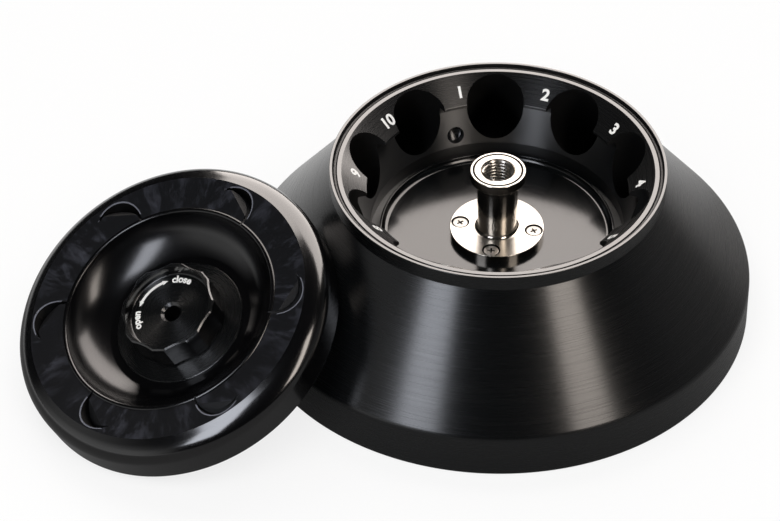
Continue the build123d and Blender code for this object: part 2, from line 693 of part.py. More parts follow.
def knob_outline():
    """Eight lands on a circle, joined by shallow scallops."""
    half = radians(KNOB_LAND_ANGLE / 2)
    step = radians(360.0 / KNOB_LANDS)
    scallop_r = KNOB_LAND_R - KNOB_SCALLOP_DEPTH
    edges = []
    for i in range(KNOB_LANDS):
        centre = radians(KNOB_LAND_AZIMUTH) + i * step
        corners = [centre - half, centre + half, centre + step - half]
        start, end, after = [Vector(KNOB_LAND_R * cos(a), KNOB_LAND_R * sin(a)) for a in corners]
        middle = Vector(scallop_r * cos(centre + step / 2), scallop_r * sin(centre + step / 2))
        edges += [Line(start, end), ThreePointArc(end, middle, after)]
    return make_face(Curve() + edges)


def knob():
    """Grip with a dished face and a through hole for the rotor's key."""
    grip = Pos(0, 0, KNOB_BOTTOM) * extrude(knob_outline(), amount=KNOB_TOP - KNOB_BOTTOM)
    grip = chamfer(grip.edges().group_by(Axis.Z)[-1], KNOB_RIM_CHAMFER)
    dish = turned([
        (0, KNOB_FACE),
        (KNOB_FACE_R - KNOB_FACE_CORNER, KNOB_FACE),
        (KNOB_FACE_R, KNOB_FACE + KNOB_FACE_CORNER),
        (KNOB_DISH_R, KNOB_TOP),
        (KNOB_DISH_R, KNOB_TOP + 1),
        (0, KNOB_TOP + 1),
    ])
    undercut = flat_ring(KNOB_SOCKET_R, KNOB_UNDERCUT_R, KNOB_BOTTOM - 1, KNOB_UNDERCUT_TOP)
    socket = upright(JOURNAL_R, KNOB_BOTTOM - 1, JOURNAL_TOP)
    key_hole = upright(KEY_HOLE_R, JOURNAL_TOP - 1, KNOB_FACE + 1)
    mouth_bottom = KNOB_FACE - (KEY_HOLE_MOUTH_R - KEY_HOLE_R)
    key_mouth = cone_up(KEY_HOLE_R, KEY_HOLE_MOUTH_R, mouth_bottom, KNOB_FACE)
    grip -= [dish, undercut, socket, key_hole, key_mouth]
    return grip - pin_holes(JOURNAL_R - 1, KNOB_SOCKET_R + 1)


# --- every node, in its place -------------------------------------------------------------

def lid_location():
    """Where the lid lies: its edge on the ground, its underside against the skirt."""
    tilt = radians(LID_TILT)
    lean = radians(LID_LEAN_AZIMUTH)
    height = (LID_R - LID_EDGE) * sin(tilt) - LID_SEAT * cos(tilt) + FLOOR_GAP
    level = (sin(lean), -cos(lean), 0)
    normal = (-sin(tilt) * cos(lean), -sin(tilt) * sin(lean), cos(tilt))
    return Plane(origin=(*LID_CENTRE, height), x_dir=level, z_dir=normal).location


ROTOR_NODES = [
    rotor_body,
    rim_seal,
    hub_post,
    hub_screws,
    hub_flange_seal,
    rotor_bolt,
    bolt_washer,
    bolt_snap_ring,
    shaft_sleeve,
    sleeve_screws,
    sleeve_dowels,
]
LID_NODES = [
    lid_shell,
    lid_centre_plate,
    lid_centre_seal,
    spindle_bush,
    thrust_washer,
    spindle_retainer,
    glide_washer,
    knob,
    knob_spindle,
    knob_pins,
]


def write_node(make, location):
    """One STEP file, named for its function; a list becomes a group of separate solids."""
    made = make()
    solids = [part.solid() for part in made] if isinstance(made, list) else [made.solid()]
    placed = [location * solid for solid in solids]
    node = placed[0] if len(placed) == 1 else Compound(children=placed)
    export_step(node, f"parts/{make.__name__}.step")


os.makedirs("parts", exist_ok=True)
for make in ROTOR_NODES:
    write_node(make, Location())
for make in LID_NODES:
    write_node(make, lid_location())
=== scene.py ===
import json
from math import atan2, cos, hypot, pi, radians, sin, sqrt, tan

import bmesh
import bpy
from mathutils import Matrix, Quaternion, Vector


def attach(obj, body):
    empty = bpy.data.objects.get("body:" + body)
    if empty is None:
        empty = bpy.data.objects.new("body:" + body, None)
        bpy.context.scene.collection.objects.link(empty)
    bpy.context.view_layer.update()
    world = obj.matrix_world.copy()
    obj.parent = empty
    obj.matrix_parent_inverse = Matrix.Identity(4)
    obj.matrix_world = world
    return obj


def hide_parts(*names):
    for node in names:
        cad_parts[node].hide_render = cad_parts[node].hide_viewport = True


# Looks of a fixed-angle centrifuge rotor for ten 50 ml tubes, with its screw-down lid taken off.
# The scene is in metres. Lengths below are in millimetres, and MM turns them to metres. Angles are in
# degrees, and an azimuth runs anticlockwise from +X, seen from above.

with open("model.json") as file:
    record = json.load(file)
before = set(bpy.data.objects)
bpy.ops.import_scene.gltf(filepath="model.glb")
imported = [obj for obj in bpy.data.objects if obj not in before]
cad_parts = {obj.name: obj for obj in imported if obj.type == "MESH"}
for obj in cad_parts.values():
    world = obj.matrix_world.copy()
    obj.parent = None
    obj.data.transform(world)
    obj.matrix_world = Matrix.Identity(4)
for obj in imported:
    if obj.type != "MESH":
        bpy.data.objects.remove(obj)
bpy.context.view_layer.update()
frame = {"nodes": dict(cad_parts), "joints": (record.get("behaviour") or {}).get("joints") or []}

MM = 0.001
TURN_STEPS = 288                # facets round a large turned part
HUB_STEPS = 192                 # round the hub, the centre plate and the hollows of the knob
CRESCENT_STEPS = 160            # round a crescent's cutter
SMALL_STEPS = 96                # round a small part
ROUNDING_STEPS = 5              # facets of a rounded corner
SHARP = radians(28)             # edges that turn more than this stay crisp
FLAT_WEIGHT = 90                # how far a flat face's shading outweighs that of its rounded edge
ON_AXIS = 1e-6                  # a point of an outline this near the axis is on it
SAME_PLACE = 1e-7               # vertices this near each other are one, in metres
CLEAR = 1.0                     # a cutter stands this far out of what it cuts, or further

# Tolerances by which a face is told from its neighbours
SKIN = 0.05                     # a face's centre this near a surface lies in it
NEAR = 0.1                      # and this near a round one, whose facets cut inside it
EDGE = 0.3                      # about the width of a rounded edge
ALONG = 0.1                     # cosine of a face's normal to an axis that the face runs along
FACED = 0.95                    # Z of the normal of a face that looks up
LOOKS_DOWN = -0.2               # Z of the normal of a face that looks down
RING_LEVEL = 0.99               # Z of the normal of the lid's ring, or more
SAME_WAY = 0.995                # cosine between two directions that are the same, or more

# --- places ---------------------------------------------------------------------------------------

UPRIGHT = Matrix.Identity(4)
knob_joint = next(joint for joint in frame["joints"] if joint["name"] == "knob_turn")
lid_axis = Vector(knob_joint["axis"]).normalized()
lid_level = Vector((0, 0, 1)).cross(lid_axis).normalized()
lid_turn = Matrix((lid_level, lid_axis.cross(lid_level), lid_axis)).transposed().to_4x4()
LEANING = Matrix.Translation(knob_joint["pos_m"]) @ lid_turn    # the lid's own axes, X level

# --- sizes of the rotor body ----------------------------------------------------------------------

BASE_R = 129.0
BAND_TOP = 23.2
COLLAR_R = 84.3
COLLAR_FOOT = 80.5
RIM_TOP = 88.4
LIP_INNER_R = 82.8
RIM_GROOVE_R = 80.5             # inner side of the seal's groove
RIM_GROOVE_FLOOR = 84.9
LAND_TOP = 86.9
LAND_INNER_R = 78.3
MOUTH_R = 77.7                  # upper edge of the face that bears the numbers
MOUTH_TOP = 86.4
STEP_R = 65.6                   # its lower edge, on top of the step
STEP_TOP = 76.0
STEP_FOOT = 74.4
WALL_TOP_R = 70.4               # tapered wall under the step
WALL_TOP = 70.8
WALL_FOOT_R = 63.9
WALL_FOOT = 51.6
GUTTER_FLOOR = 44.2
RIDGE_R = 59.4
RIDGE_INNER_R = 58.3
RIDGE_TOP = 48.4
FLOOR_TOP = 45.2

HUB_SEAT_R = 12.0
HUB_SEAT = 38.0
BOLT_HOLE_R = 4.3
SLEEVE_BORE_R = 16.0
SLEEVE_BORE_TOP = 30.0
SLEEVE_SEAT_R = 24.5
SLEEVE_SEAT = 4.0
BOSS_R = 30.0
HOLLOW_TOP = 35.0

POCKET_COUNT = 10
POCKET_R = 14.7
POCKET_TILT = 36.0
POCKET_AXIS_R = 66.5            # where a pocket's axis passes the step's height
POCKET_DEPTH = 70.0             # from there down to the centre of its round end
POCKET_REACH = 60.0             # and up, clear of the rim
POCKET_END_STEPS = 16
POCKETS_WITHIN_R = 124.0        # further out there is only the skirt
FIRST_POCKET = 91.8             # azimuth of pocket 1; the numbers run clockwise
NUMBER_STEP = 14.8              # a number stands this far anticlockwise of its pocket
NUMBER_R = 71.0
NUMBER_SIZE = 8.4
NUMBER_WEIGHT = 0.3
FACE_UP = 0.3                   # Z of a normal, above which a face may be the numbered one

BALANCE_HOLE_R = 4.5
BALANCE_HOLE_Z = 57.4
BALANCE_HOLE_DEPTH = 5.0
BALANCE_HOLE_REACH = 6.0
DRILL_POINT = 31.0              # slope of the point of a 118 degree drill
HALFWAY = 0.5                   # pocket number of the place between pockets 10 and 1

# --- sizes of the hub -----------------------------------------------------------------------------

FLANGE_R = 23.8
FLANGE_TOP = 49.2
NECK_R = 10.9
NECK_FOOT = 76.6
HEAD_R = 13.9
HEAD_TOP = 86.0
HEAD_GROOVE_INNER_R = 11.65
HEAD_GROOVE_OUTER_R = 12.75
HEAD_GROOVE_FLOOR = 85.0
CHAMBER_R = 7.5                 # chamber of the captive bolt, below the thread
CHAMBER_TOP = 60.0
CHAMBER_FLOOR = 41.0
SNAP_GROOVE_R = 8.2
SNAP_GROOVE_TOP = 53.8
SNAP_GROOVE_FOOT = 52.6

THREAD_PITCH = 2.0
RIDGE_SHARE = 0.42              # half the width of a thread's ridge, as a share of the pitch
RIDGE_STEPS = 8                 # facets of its round back
BURIED = 0.2                    # how deep its foot stands in the metal
HUB_THREAD_R = 8.0              # at its root
HUB_THREAD_CREST_R = 6.9
HUB_THREAD_FOOT = 61.0
HUB_THREAD_TOP = 86.4
MOUTH_CHAMFER = 1.8

SCREW_COUNT = 4
SCREW_PCD_R = 18.8
SCREW_AZIMUTH = -8.2
SCREW_HEAD_R = 3.9
SCREW_SHANK_R = 2.0
SCREW_FOOT = 39.7
SCREW_CONE = 2.4                # from the head's top down to its shank
SCREW_SIDE = 0.5                # and down its straight side
SCREW_DOME = 0.1
SCREW_SINK = 0.4                # the head's top lies this far below the flange's
SINK_R = 4.6
SINK_SIDE = 0.9
SINK_DEPTH = 3.4
SCREW_HOLE_R = 2.1
SCREW_HOLE_FOOT = 44.0
SINKS_OUTSIDE_R = 12.5          # between these, faces below the flange's top are out of the light
SINKS_WITHIN_R = 22.8
RECESS_FOOT_R = 0.9
RECESS_MOUTH_R = 3.4
RECESS_LENGTH = 2.4
RECESS_SINK = 0.4
RECESS_THINNESS = 0.26          # an arm's width, as a share of its length
RECESS_TURN = 35                # each screw was stopped at a turn of its own
RECESS_TURN_STEP = 50

# --- sizes of the lid, knob and spindle, in the lid's own axes ------------------------------------

LID_R = 81.9
LID_WALL_FOOT = -5.7
SPIGOT_FOOT = -9.6
LID_BOSS_FOOT = -6.4
LID_SEAL_SEAT = -5.0
BUSH_SEAT_R = 8.6
RING_OUTER_R = 72.3
RING_OUTER_Z = 16.9
RING_INNER_R = 56.2
RING_INNER_Z = 15.2
RING_Z = (RING_OUTER_Z + RING_INNER_Z) / 2
BOWL_TOP_R = 53.7
BOWL_TOP = 14.6
BOWL_FOOT = -1.0
BOWL_STEPS = 24
PLATE_R = 33.3
PLATE_SEAT = -3.0

CRESCENT_COUNT = 6
CRESCENT_R = 63.0
CRESCENT_AZIMUTH = 37.5
CRESCENT_OFFSET = 0.7
CRESCENT_CUTTER_R = 12.5
CRESCENT_CHORD = 21.2
CRESCENT_SKEW = 34.5
CRESCENT_TILT = 32.0
CUTTER_REACH = 14.0
KERF_W = 2.2                    # deeper kerf along a crescent's curved side
KERF_DEPTH = 1.8
KERF_REACH = 0.5
EDGE_BREAK = 0.5                # a fine step breaks the edge along that side: its width
EDGE_DEPTH = 0.2                # and its depth
CORE_R = 90.0                   # solid that a step's cutter must leave alone, wider than the lid
CORE_FOOT = -20.0

KNOB_LAND_R = 24.5
KNOB_LANDS = 8
KNOB_LAND_ANGLE = 14.5
KNOB_LAND_AZIMUTH = 33.8
KNOB_SCALLOP = 1.5              # depth of a scallop between two lands
SCALLOP_STEPS = 10
KNOB_BOTTOM = 1.3
KNOB_TOP = 16.6
KNOB_CHAMFER = 0.7
KNOB_FACE = 10.5
DISH_FOOT_R = 21.4
DISH_TOP_R = 22.1
DISH_REACH = 18.0
UNDERCUT_INNER_R = 11.5         # room for the glide washer
UNDERCUT_OUTER_R = 19.0
UNDERCUT_TOP = 6.0
KEY_HOLE_R = 4.3
KEY_HOLE_MOUTH_R = 5.6
KEY_HOLE_REACH = 12.0
KNOB_STEEP = 0.5                # Z of a normal, below which a face stands steep
KNOB_CORE_R = 20.0              # steep faces outside this ball are the side and the dish's wall

SPINDLE_HEAD_R = 7.0
SPINDLE_TOP = 8.3
SPINDLE_GROOVE_R = 6.2
SPINDLE_GROOVE_TOP = -5.05
SPINDLE_GROOVE_FOOT = -6.15
SPINDLE_SHANK_R = 6.6
SPINDLE_FOOT = -26.0
SPINDLE_THREAD_R = 6.7          # at its root
SPINDLE_THREAD_CREST_R = 7.8
SPINDLE_THREAD_FOOT = -24.6
SPINDLE_THREAD_TOP = -9.5
SPINDLE_RUNOUT = -8.6           # where the thread has run out

ENAMEL_HALF = 0.03              # the enamel stands this far proud, and reaches this far in
LETTER_STEPS = 6                # facets of a letter's curve
SAME_POINT = 1e-5               # points of a letter this near each other are one
WORD_SIZE = 5.2
WORD_WEIGHT = 0.2
WORD_R = 18.2
WORDS = {"close": 116.9, "open": 227.9}
ARROW_START = 140.4
ARROW_END = 203.9
ARROW_R = 18.1
ARROW_WIDTH = 1.4
ARROW_HEAD_LENGTH = 3.0
ARROW_HEAD_WIDTH = 2.6
ARROW_STEPS = 16


# --- shaping --------------------------------------------------------------------------------------

def moved(x=0.0, y=0.0, z=0.0):
    """Shift in millimetres."""
    return Matrix.Translation((x * MM, y * MM, z * MM))


def tilted(angle, axis):
    """Turn about an axis."""
    return Matrix.Rotation(radians(angle), 4, axis)


def rounded(corners):
    """Outline whose corners (radius, height, rounding) are turned to arcs.

    A corner with no rounding stays as it is.
    """
    outline = []
    for i, (r, z, *rounding) in enumerate(corners):
        corner = Vector((r, z))
        if not rounding:
            outline.append(corner)
            continue
        back = (Vector(corners[i - 1][:2]) - corner).normalized()
        ahead = (Vector(corners[(i + 1) % len(corners)][:2]) - corner).normalized()
        half = back.angle(ahead) / 2
        centre = corner + (back + ahead).normalized() * rounding[0] / sin(half)
        start = corner + back * rounding[0] / tan(half) - centre
        end = corner + ahead * rounding[0] / tan(half) - centre
        spokes = [start.slerp(end, k / ROUNDING_STEPS) for k in range(ROUNDING_STEPS + 1)]
        outline += [centre + spoke * rounding[0] for spoke in spokes]
    return outline


def arc(start, middle, end, steps=12):
    """Points of the arc through three points of an outline, its ends included."""
    (x1, y1), (x2, y2), (x3, y3) = start, middle, end
    twice = 2 * (x1 * (y2 - y3) + x2 * (y3 - y1) + x3 * (y1 - y2))
    squares = [x * x + y * y for x, y in (start, middle, end)]
    centre = Vector((
        (squares[0] * (y2 - y3) + squares[1] * (y3 - y1) + squares[2] * (y1 - y2)) / twice,
        (squares[0] * (x3 - x2) + squares[1] * (x1 - x3) + squares[2] * (x2 - x1)) / twice,
    ))
    first, last = Vector(start) - centre, Vector(end) - centre
    return [tuple(centre + first.slerp(last, k / steps) * first.length) for k in range(steps + 1)]


def as_piece(name, bm, place=UPRIGHT):
    """Object at the origin, with its place in its mesh."""
    bm.transform(place)
    mesh = bpy.data.meshes.new(name)
    bm.to_mesh(mesh)
    bm.free()
    piece = bpy.data.objects.new(name, mesh)
    bpy.context.scene.collection.objects.link(piece)
    return piece


def turned(name, outline, place=UPRIGHT, steps=TURN_STEPS):
    """Shell of revolution about a place's Z axis, from an outline of (radius, height).

    An outline that starts on the axis also ends on it; any other closes on itself.
    """
    bm = bmesh.new()
    points = [bm.verts.new((r * MM, 0, z * MM)) for r, z in outline]
    chain = points if outline[0][0] < ON_AXIS else points + points[:1]
    edges = [bm.edges.new(pair) for pair in zip(chain, chain[1:])]
    bmesh.ops.spin(bm, geom=points + edges, cent=(0, 0, 0), axis=(0, 0, 1), angle=2 * pi,
                   steps=steps, use_merge=True)
    bmesh.ops.remove_doubles(bm, verts=bm.verts, dist=SAME_PLACE)
    bmesh.ops.recalc_face_normals(bm, faces=bm.faces)
    return as_piece(name, bm, place)


def raised_prism(name, outline, bottom, height, place, finish):
    """Prism on an outline of (radius, angle in radians); finish works on its mesh."""
    bm = bmesh.new()
    corners = [bm.verts.new((r * cos(a) * MM, r * sin(a) * MM, bottom * MM)) for r, a in outline]
    foot = bm.faces.new(corners)
    raised = bmesh.ops.extrude_face_region(bm, geom=[foot])["geom"]
    top = [item for item in raised if isinstance(item, bmesh.types.BMVert)]
    bmesh.ops.translate(bm, vec=(0, 0, height * MM), verts=top)
    bmesh.ops.recalc_face_normals(bm, faces=bm.faces)
    finish(bm)
    return as_piece(name, bm, place)


def applied(piece):
    """Puts the result of a piece's modifiers in its mesh."""
    shape = piece.evaluated_get(bpy.context.evaluated_depsgraph_get())
    mesh = bpy.data.meshes.new_from_object(shape)
    piece.modifiers.clear()
    piece.data = mesh


def cut(piece, cutters):
    """Takes the cutters' solids out of a piece."""
    for cutter in cutters:
        difference = piece.modifiers.new("cut", "BOOLEAN")
        difference.operation = "DIFFERENCE"
        difference.solver = "MANIFOLD"
        difference.object = cutter
    applied(piece)
    for cutter in cutters:
        bpy.data.objects.remove(cutter)


def crisp(piece):
    """Smooth shading between crisp edges, with flat faces kept flat."""
    piece.data.shade_smooth()
    piece.data.set_sharp_from_angle(angle=SHARP)
    weighted = piece.modifiers.new("flat_faces", "WEIGHTED_NORMAL")
    weighted.keep_sharp = True
    weighted.weight = FLAT_WEIGHT


def finished(piece, body, materials, replaced=(), pick=None, place=UPRIGHT):
    """Gives a piece its materials, shading and body.

    pick chooses a material's number from a face's centre and normal in the part's own axes.
    """
    piece.data.materials.clear()
    for material in materials:
        piece.data.materials.append(material)
    if pick:
        own = place.inverted()
        own_turn = own.to_3x3()
        for face in piece.data.polygons:
            face.material_index = pick(own @ face.center / MM, own_turn @ face.normal)
    crisp(piece)
    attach(piece, body)
    if replaced:
        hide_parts(*replaced)
    return piece


# --- how a finish is made -------------------------------------------------------------------------

NOISE_RANGE = (0.3, 0.7)        # nearly all values of a noise lie between these
QUARTER_TURN = 0.25             # the gloss is drawn out across the rings, not along them
RING_RUN = 2.5                  # a ring's tone changes this often per radian of its way round

# The oxide film's index differs from face to face, because it sets how strongly a face mirrors.
FILM_IOR = 1.5                  # most faces, whose fine rings scatter some of the light
POLISHED_IOR = 1.65             # polished faces
DENSE_IOR = 1.76                # faces that mirror most: the land, the tapered wall, the knob
MILLED_IOR = 1.3                # rough faces that mirror little
# the kerfs' film mirrors least of all, as part of their painted shade
KERF_SHADE_IOR = 1.2

WISP_GAP = 7.0                  # between two wisps on the lid's ring
WISP_LENGTH = 50 / 3
WISP_DEPTH = 0.004
HAIR_GAP = 1.4                  # between two of the finer hairs
HAIR_STRENGTH = 0.3             # against a wisp's
PATCH_GAP = 25.2                # between two patches of wear
PATCH_FAINTEST = 0.25
HANDLED_BLACK = "#0d0e11"
WISP_SHEEN_GREY = "#30323b"


def linear(code):
    """Linear colour of an sRGB hex value."""
    parts = [int(code[i:i + 2], 16) / 255 for i in (1, 3, 5)]
    return [c / 12.92 if c <= 0.04045 else ((c + 0.055) / 1.055) ** 2.4 for c in parts] + [1]


def add(tree, kind, inputs=(), out=0, **settings):
    """Adds a node and gives one of its outputs.

    Inputs are values or other nodes' outputs: in the order of the sockets, or by name or number.
    """
    made = tree.nodes.new(kind)
    for name, value in settings.items():
        setattr(made, name, value)
    for socket, value in inputs.items() if isinstance(inputs, dict) else enumerate(inputs):
        if isinstance(value, bpy.types.NodeSocket):
            tree.links.new(value, made.inputs[socket])
        else:
            made.inputs[socket].default_value = value
    return made.outputs[out] if made.outputs else None


def new_material(name):
    """Empty material, and its node tree."""
    material = bpy.data.materials.new(name)
    material.use_nodes = True
    material.node_tree.nodes.clear()
    return material, material.node_tree


def round_axes(tree, place):
    """Height, radius and bearing of a point about a part's own axis, and the way round it."""
    here = add(tree, "ShaderNodeTexCoord", out="Object")
    own = add(tree, "ShaderNodeMapping", [here, place.to_translation(), place.to_euler()],
              vector_type="TEXTURE")
    height = add(tree, "ShaderNodeSeparateXYZ", [own], out="Z")
    flat = add(tree, "ShaderNodeVectorMath", [own, (1, 1, 0)], operation="MULTIPLY")
    radius = add(tree, "ShaderNodeVectorMath", [flat], out="Value", operation="LENGTH")
    bearing = add(tree, "ShaderNodeVectorMath", [flat], operation="NORMALIZE")
    arm = add(tree, "ShaderNodeVectorMath", [here, place.to_translation()], operation="SUBTRACT")
    axis = place.to_3x3().col[2]
    way_round = add(tree, "ShaderNodeVectorMath", [axis, arm], operation="CROSS_PRODUCT")
    way_round = add(tree, "ShaderNodeVectorTransform", [way_round],
                    vector_type="VECTOR", convert_from="OBJECT", convert_to="WORLD")
    return height, radius, bearing, way_round


def turned_metal(name, place, colour, metallic, roughness, line, depth, anisotropy, ior=1.5):
    """Finish of a surface cut on a lathe: fine rings, which draw a highlight out across them.

    line is a ring's width, and depth its depth.
    """
    material, tree = new_material(name)
    height, radius, bearing, way_round = round_axes(tree, place)
    sides = add(tree, "ShaderNodeSeparateXYZ", [bearing]).node.outputs
    across = add(tree, "ShaderNodeCombineXYZ", [
        add(tree, "ShaderNodeMath", [radius, 1 / (line * MM)], operation="MULTIPLY"),
        add(tree, "ShaderNodeMath", [height, 1 / (line * MM)], operation="MULTIPLY"),
        add(tree, "ShaderNodeMath", [sides["X"], RING_RUN], operation="MULTIPLY"),
    ])
    other_way = add(tree, "ShaderNodeMath", [sides["Y"], RING_RUN], operation="MULTIPLY")
    rings = add(tree, "ShaderNodeTexNoise", {
        "Vector": across, "W": other_way, "Scale": 1.0, "Detail": 3.0, "Roughness": 0.6,
    }, noise_dimensions="4D")
    shader = add(tree, "ShaderNodeBsdfPrincipled", {
        "Base Color": linear(colour), "Metallic": metallic, "IOR": ior,
        "Roughness": add(tree, "ShaderNodeMapRange", [rings, *NOISE_RANGE, *roughness]),
        "Anisotropic": anisotropy, "Anisotropic Rotation": QUARTER_TURN, "Tangent": way_round,
        "Normal": add(tree, "ShaderNodeBump", {"Distance": depth * MM, "Height": rings}),
    })
    add(tree, "ShaderNodeOutputMaterial", [shader])
    return material


def worn_ring(name, place):
    """Satin black film, crossed by faint grey wisps where it has been wiped and handled.

    The wisps run out from the axis, with finer hairs among them, and fade in and out in patches.
    They lift the film's roughness a little, and their grey on its colour is a painted sheen.
    """
    material, tree = new_material(name)
    _, radius, bearing, _ = round_axes(tree, place)
    spoke = add(tree, "ShaderNodeVectorMath", {0: bearing, "Scale": CRESCENT_R / WISP_GAP},
                operation="SCALE")
    outward = add(tree, "ShaderNodeMath", [radius, 1 / (WISP_LENGTH * MM)], operation="MULTIPLY")
    drift = add(tree, "ShaderNodeCombineXYZ", {2: outward})
    along = add(tree, "ShaderNodeVectorMath", [spoke, drift], operation="ADD")
    streaks = add(tree, "ShaderNodeTexNoise", {
        "Vector": along, "Scale": 1.0, "Detail": 5.0, "Roughness": 0.65, "Distortion": 0.4,
    })
    fine = add(tree, "ShaderNodeVectorMath", {0: along, "Scale": WISP_GAP / HAIR_GAP},
               operation="SCALE")
    threads = add(tree, "ShaderNodeTexNoise", {"Vector": fine, "Scale": 1.0, "Detail": 3.0})
    areas = add(tree, "ShaderNodeTexNoise", {
        "Vector": bearing, "Scale": CRESCENT_R / PATCH_GAP, "Detail": 2.0,
    })
    # the peaks of each noise become marks, and the rest of it stays bare
    wisps = add(tree, "ShaderNodeMapRange", [streaks, 0.5, 0.74, 0.0, 1.0])
    hairs = add(tree, "ShaderNodeMapRange", [threads, 0.6, 0.75, 0.0, HAIR_STRENGTH])
    patches = add(tree, "ShaderNodeMapRange", [areas, 0.35, 0.6, PATCH_FAINTEST, 1.0])
    both = add(tree, "ShaderNodeMath", [wisps, hairs], operation="ADD")
    marks = add(tree, "ShaderNodeMath", [both, patches], operation="MULTIPLY")
    tone = add(tree, "ShaderNodeMix", {
        "Factor": marks, 6: linear(HANDLED_BLACK), 7: linear(WISP_SHEEN_GREY),
    }, out=2, data_type="RGBA")
    shader = add(tree, "ShaderNodeBsdfPrincipled", {
        "Base Color": tone, "IOR": FILM_IOR,
        "Roughness": add(tree, "ShaderNodeMapRange", [marks, 0.0, 1.0, 0.3, 0.42]),
        "Normal": add(tree, "ShaderNodeBump", {"Distance": WISP_DEPTH * MM, "Height": marks}),
    })
    add(tree, "ShaderNodeOutputMaterial", [shader])
    return material


def plain_finish(name, colour, metallic, roughness, grain, depth, ior=1.5):
    """Finish with a fine even grain, of a width and a depth."""
    material, tree = new_material(name)
    here = add(tree, "ShaderNodeTexCoord", out="Object")
    noise = add(tree, "ShaderNodeTexNoise", {"Vector": here, "Scale": 1 / (grain * MM), "Detail": 2.0})
    shader = add(tree, "ShaderNodeBsdfPrincipled", {
        "Base Color": linear(colour), "Metallic": metallic, "IOR": ior,
        "Roughness": add(tree, "ShaderNodeMapRange", [noise, *NOISE_RANGE, *roughness]),
        "Normal": add(tree, "ShaderNodeBump", {"Distance": depth * MM, "Height": noise}),
    })
    add(tree, "ShaderNodeOutputMaterial", [shader])
    return material


# --- finishes -------------------------------------------------------------------------------------

# A finishing cut leaves rings of about 0.1 mm, too fine to show. They are drawn 0.3 to 0.7 mm wide, as
# coarse as they need to show, and so are the grains.

# Black anodised aluminium, turned: a hard black oxide film over fine lathe rings. It is satin, and a
# lamp shows in it as a streak across the rings.
black_turned = turned_metal("anodised_aluminium_black_turned", UPRIGHT, "#050607", 0.0, (0.23, 0.3),
                            line=0.55, depth=0.0013, anisotropy=0.65, ior=FILM_IOR)
# The same film on the conical face that bears the numbers, turned finer.
black_face = turned_metal("anodised_aluminium_black_fine_turned", UPRIGHT, "#060708", 0.0,
                          (0.24, 0.3), line=0.5, depth=0.001, anisotropy=0.6, ior=FILM_IOR)
# The same film on the tapered wall below it, turned coarser: it draws highlights far up and down.
black_wall = turned_metal("anodised_aluminium_black_coarse_turned", UPRIGHT, "#050607", 0.0,
                          (0.3, 0.38), line=0.7, depth=0.0015, anisotropy=0.85, ior=DENSE_IOR)
# The same film on the bowl's floor, turned and then polished: clearer reflections.
black_floor = turned_metal("anodised_aluminium_black_polished_floor", UPRIGHT, "#050607", 0.0,
                           (0.12, 0.17), line=0.5, depth=0.0005, anisotropy=0.4, ior=FILM_IOR)
# The same film on the flat land and the lip, lapped flat: it mirrors the lamp behind it.
black_land = turned_metal("anodised_aluminium_black_lapped", UPRIGHT, "#0a0a0b", 0.0, (0.10, 0.16),
                          line=0.35, depth=0.0008, anisotropy=0.3, ior=DENSE_IOR)
# The same film on the lid's shoulder and underside and the knob's side, polished before anodising:
# glossy, with faint rings.
black_polished = turned_metal("anodised_aluminium_black_polished", LEANING, "#030304", 0.0,
                              (0.13, 0.17), line=0.4, depth=0.0004, anisotropy=0.2,
                              ior=POLISHED_IOR)
# The same film in the lid's bowl, polished less: a lamp shows in it as a soft-edged window.
black_bowl = turned_metal("anodised_aluminium_black_satin_bowl", LEANING, "#030304", 0.0,
                          (0.19, 0.23), line=0.4, depth=0.0004, anisotropy=0.2, ior=FILM_IOR)
# The same film on the knob's face and the plate under it, turned: a lamp fans out across its rings.
black_knob = turned_metal("anodised_aluminium_black_knob", LEANING, "#060708", 0.0, (0.24, 0.3),
                          line=0.4, depth=0.001, anisotropy=0.8, ior=DENSE_IOR)
# The same film on the lid's ring: satin, greyed by handling, and crossed by wisps of painted sheen.
black_ring = worn_ring("anodised_aluminium_black_handled_sheen", LEANING)
# Black anodised aluminium, bored: matt and dark inside the pockets and the seal's groove.
black_bored = plain_finish("anodised_aluminium_black_bored", "#020202", 0.0, (0.5, 0.6),
                           grain=0.6, depth=0.002)
# Black anodised aluminium, end-milled: matt and grainy, on the crescents' flats.
black_milled = plain_finish("anodised_aluminium_black_milled", "#07080a", 0.0, (0.5, 0.6),
                            grain=0.5, depth=0.01, ior=MILLED_IOR)
# The crescents' kerfs, milled too: matt, and painted nearly lightless as the shade in the narrow slot.
kerf_painted_shade = plain_finish("anodised_aluminium_kerf_painted_shade", "#010101", 0.0, (0.5, 0.6),
                          grain=0.5, depth=0.001, ior=KERF_SHADE_IOR)
# Edges of the crescents: a fine grey line, a painted highlight along the broken edge.
edge_painted_highlight = plain_finish("anodised_aluminium_edge_painted_highlight", "#62646d", 0.0, (0.3, 0.4),
                         grain=0.5, depth=0.001)
# Stainless steel, turned and polished: it mirrors softly, with fine rings. The steels' colours are
# darker than bare steel's, so that the lamp behind them doesn't clip them wholly to white.
STEEL_TURNED = "#b8b2a9"
steel_turned = turned_metal("stainless_steel_turned", UPRIGHT, STEEL_TURNED, 1.0, (0.12, 0.18),
                            line=0.3, depth=0.0015, anisotropy=0.5)
# The same steel on the spindle, which lies askew with the lid, and smoother.
steel_leaning = turned_metal("stainless_steel_turned_spindle", LEANING, STEEL_TURNED, 1.0,
                             (0.08, 0.14), line=0.3, depth=0.0015, anisotropy=0.5)
# The same steel on faces that look up and on the hub's thread, cut coarser: it smears reflections.
steel_faced = turned_metal("stainless_steel_faced", UPRIGHT, "#a5a19b", 1.0, (0.27, 0.34),
                           line=0.3, depth=0.0015, anisotropy=0.6)
# Stainless steel, cold headed: dull and even, on the screw heads, dowels and pins.
steel_plain = plain_finish("stainless_steel_cold_headed", "#98948f", 1.0, (0.34, 0.44),
                           grain=0.8, depth=0.002)
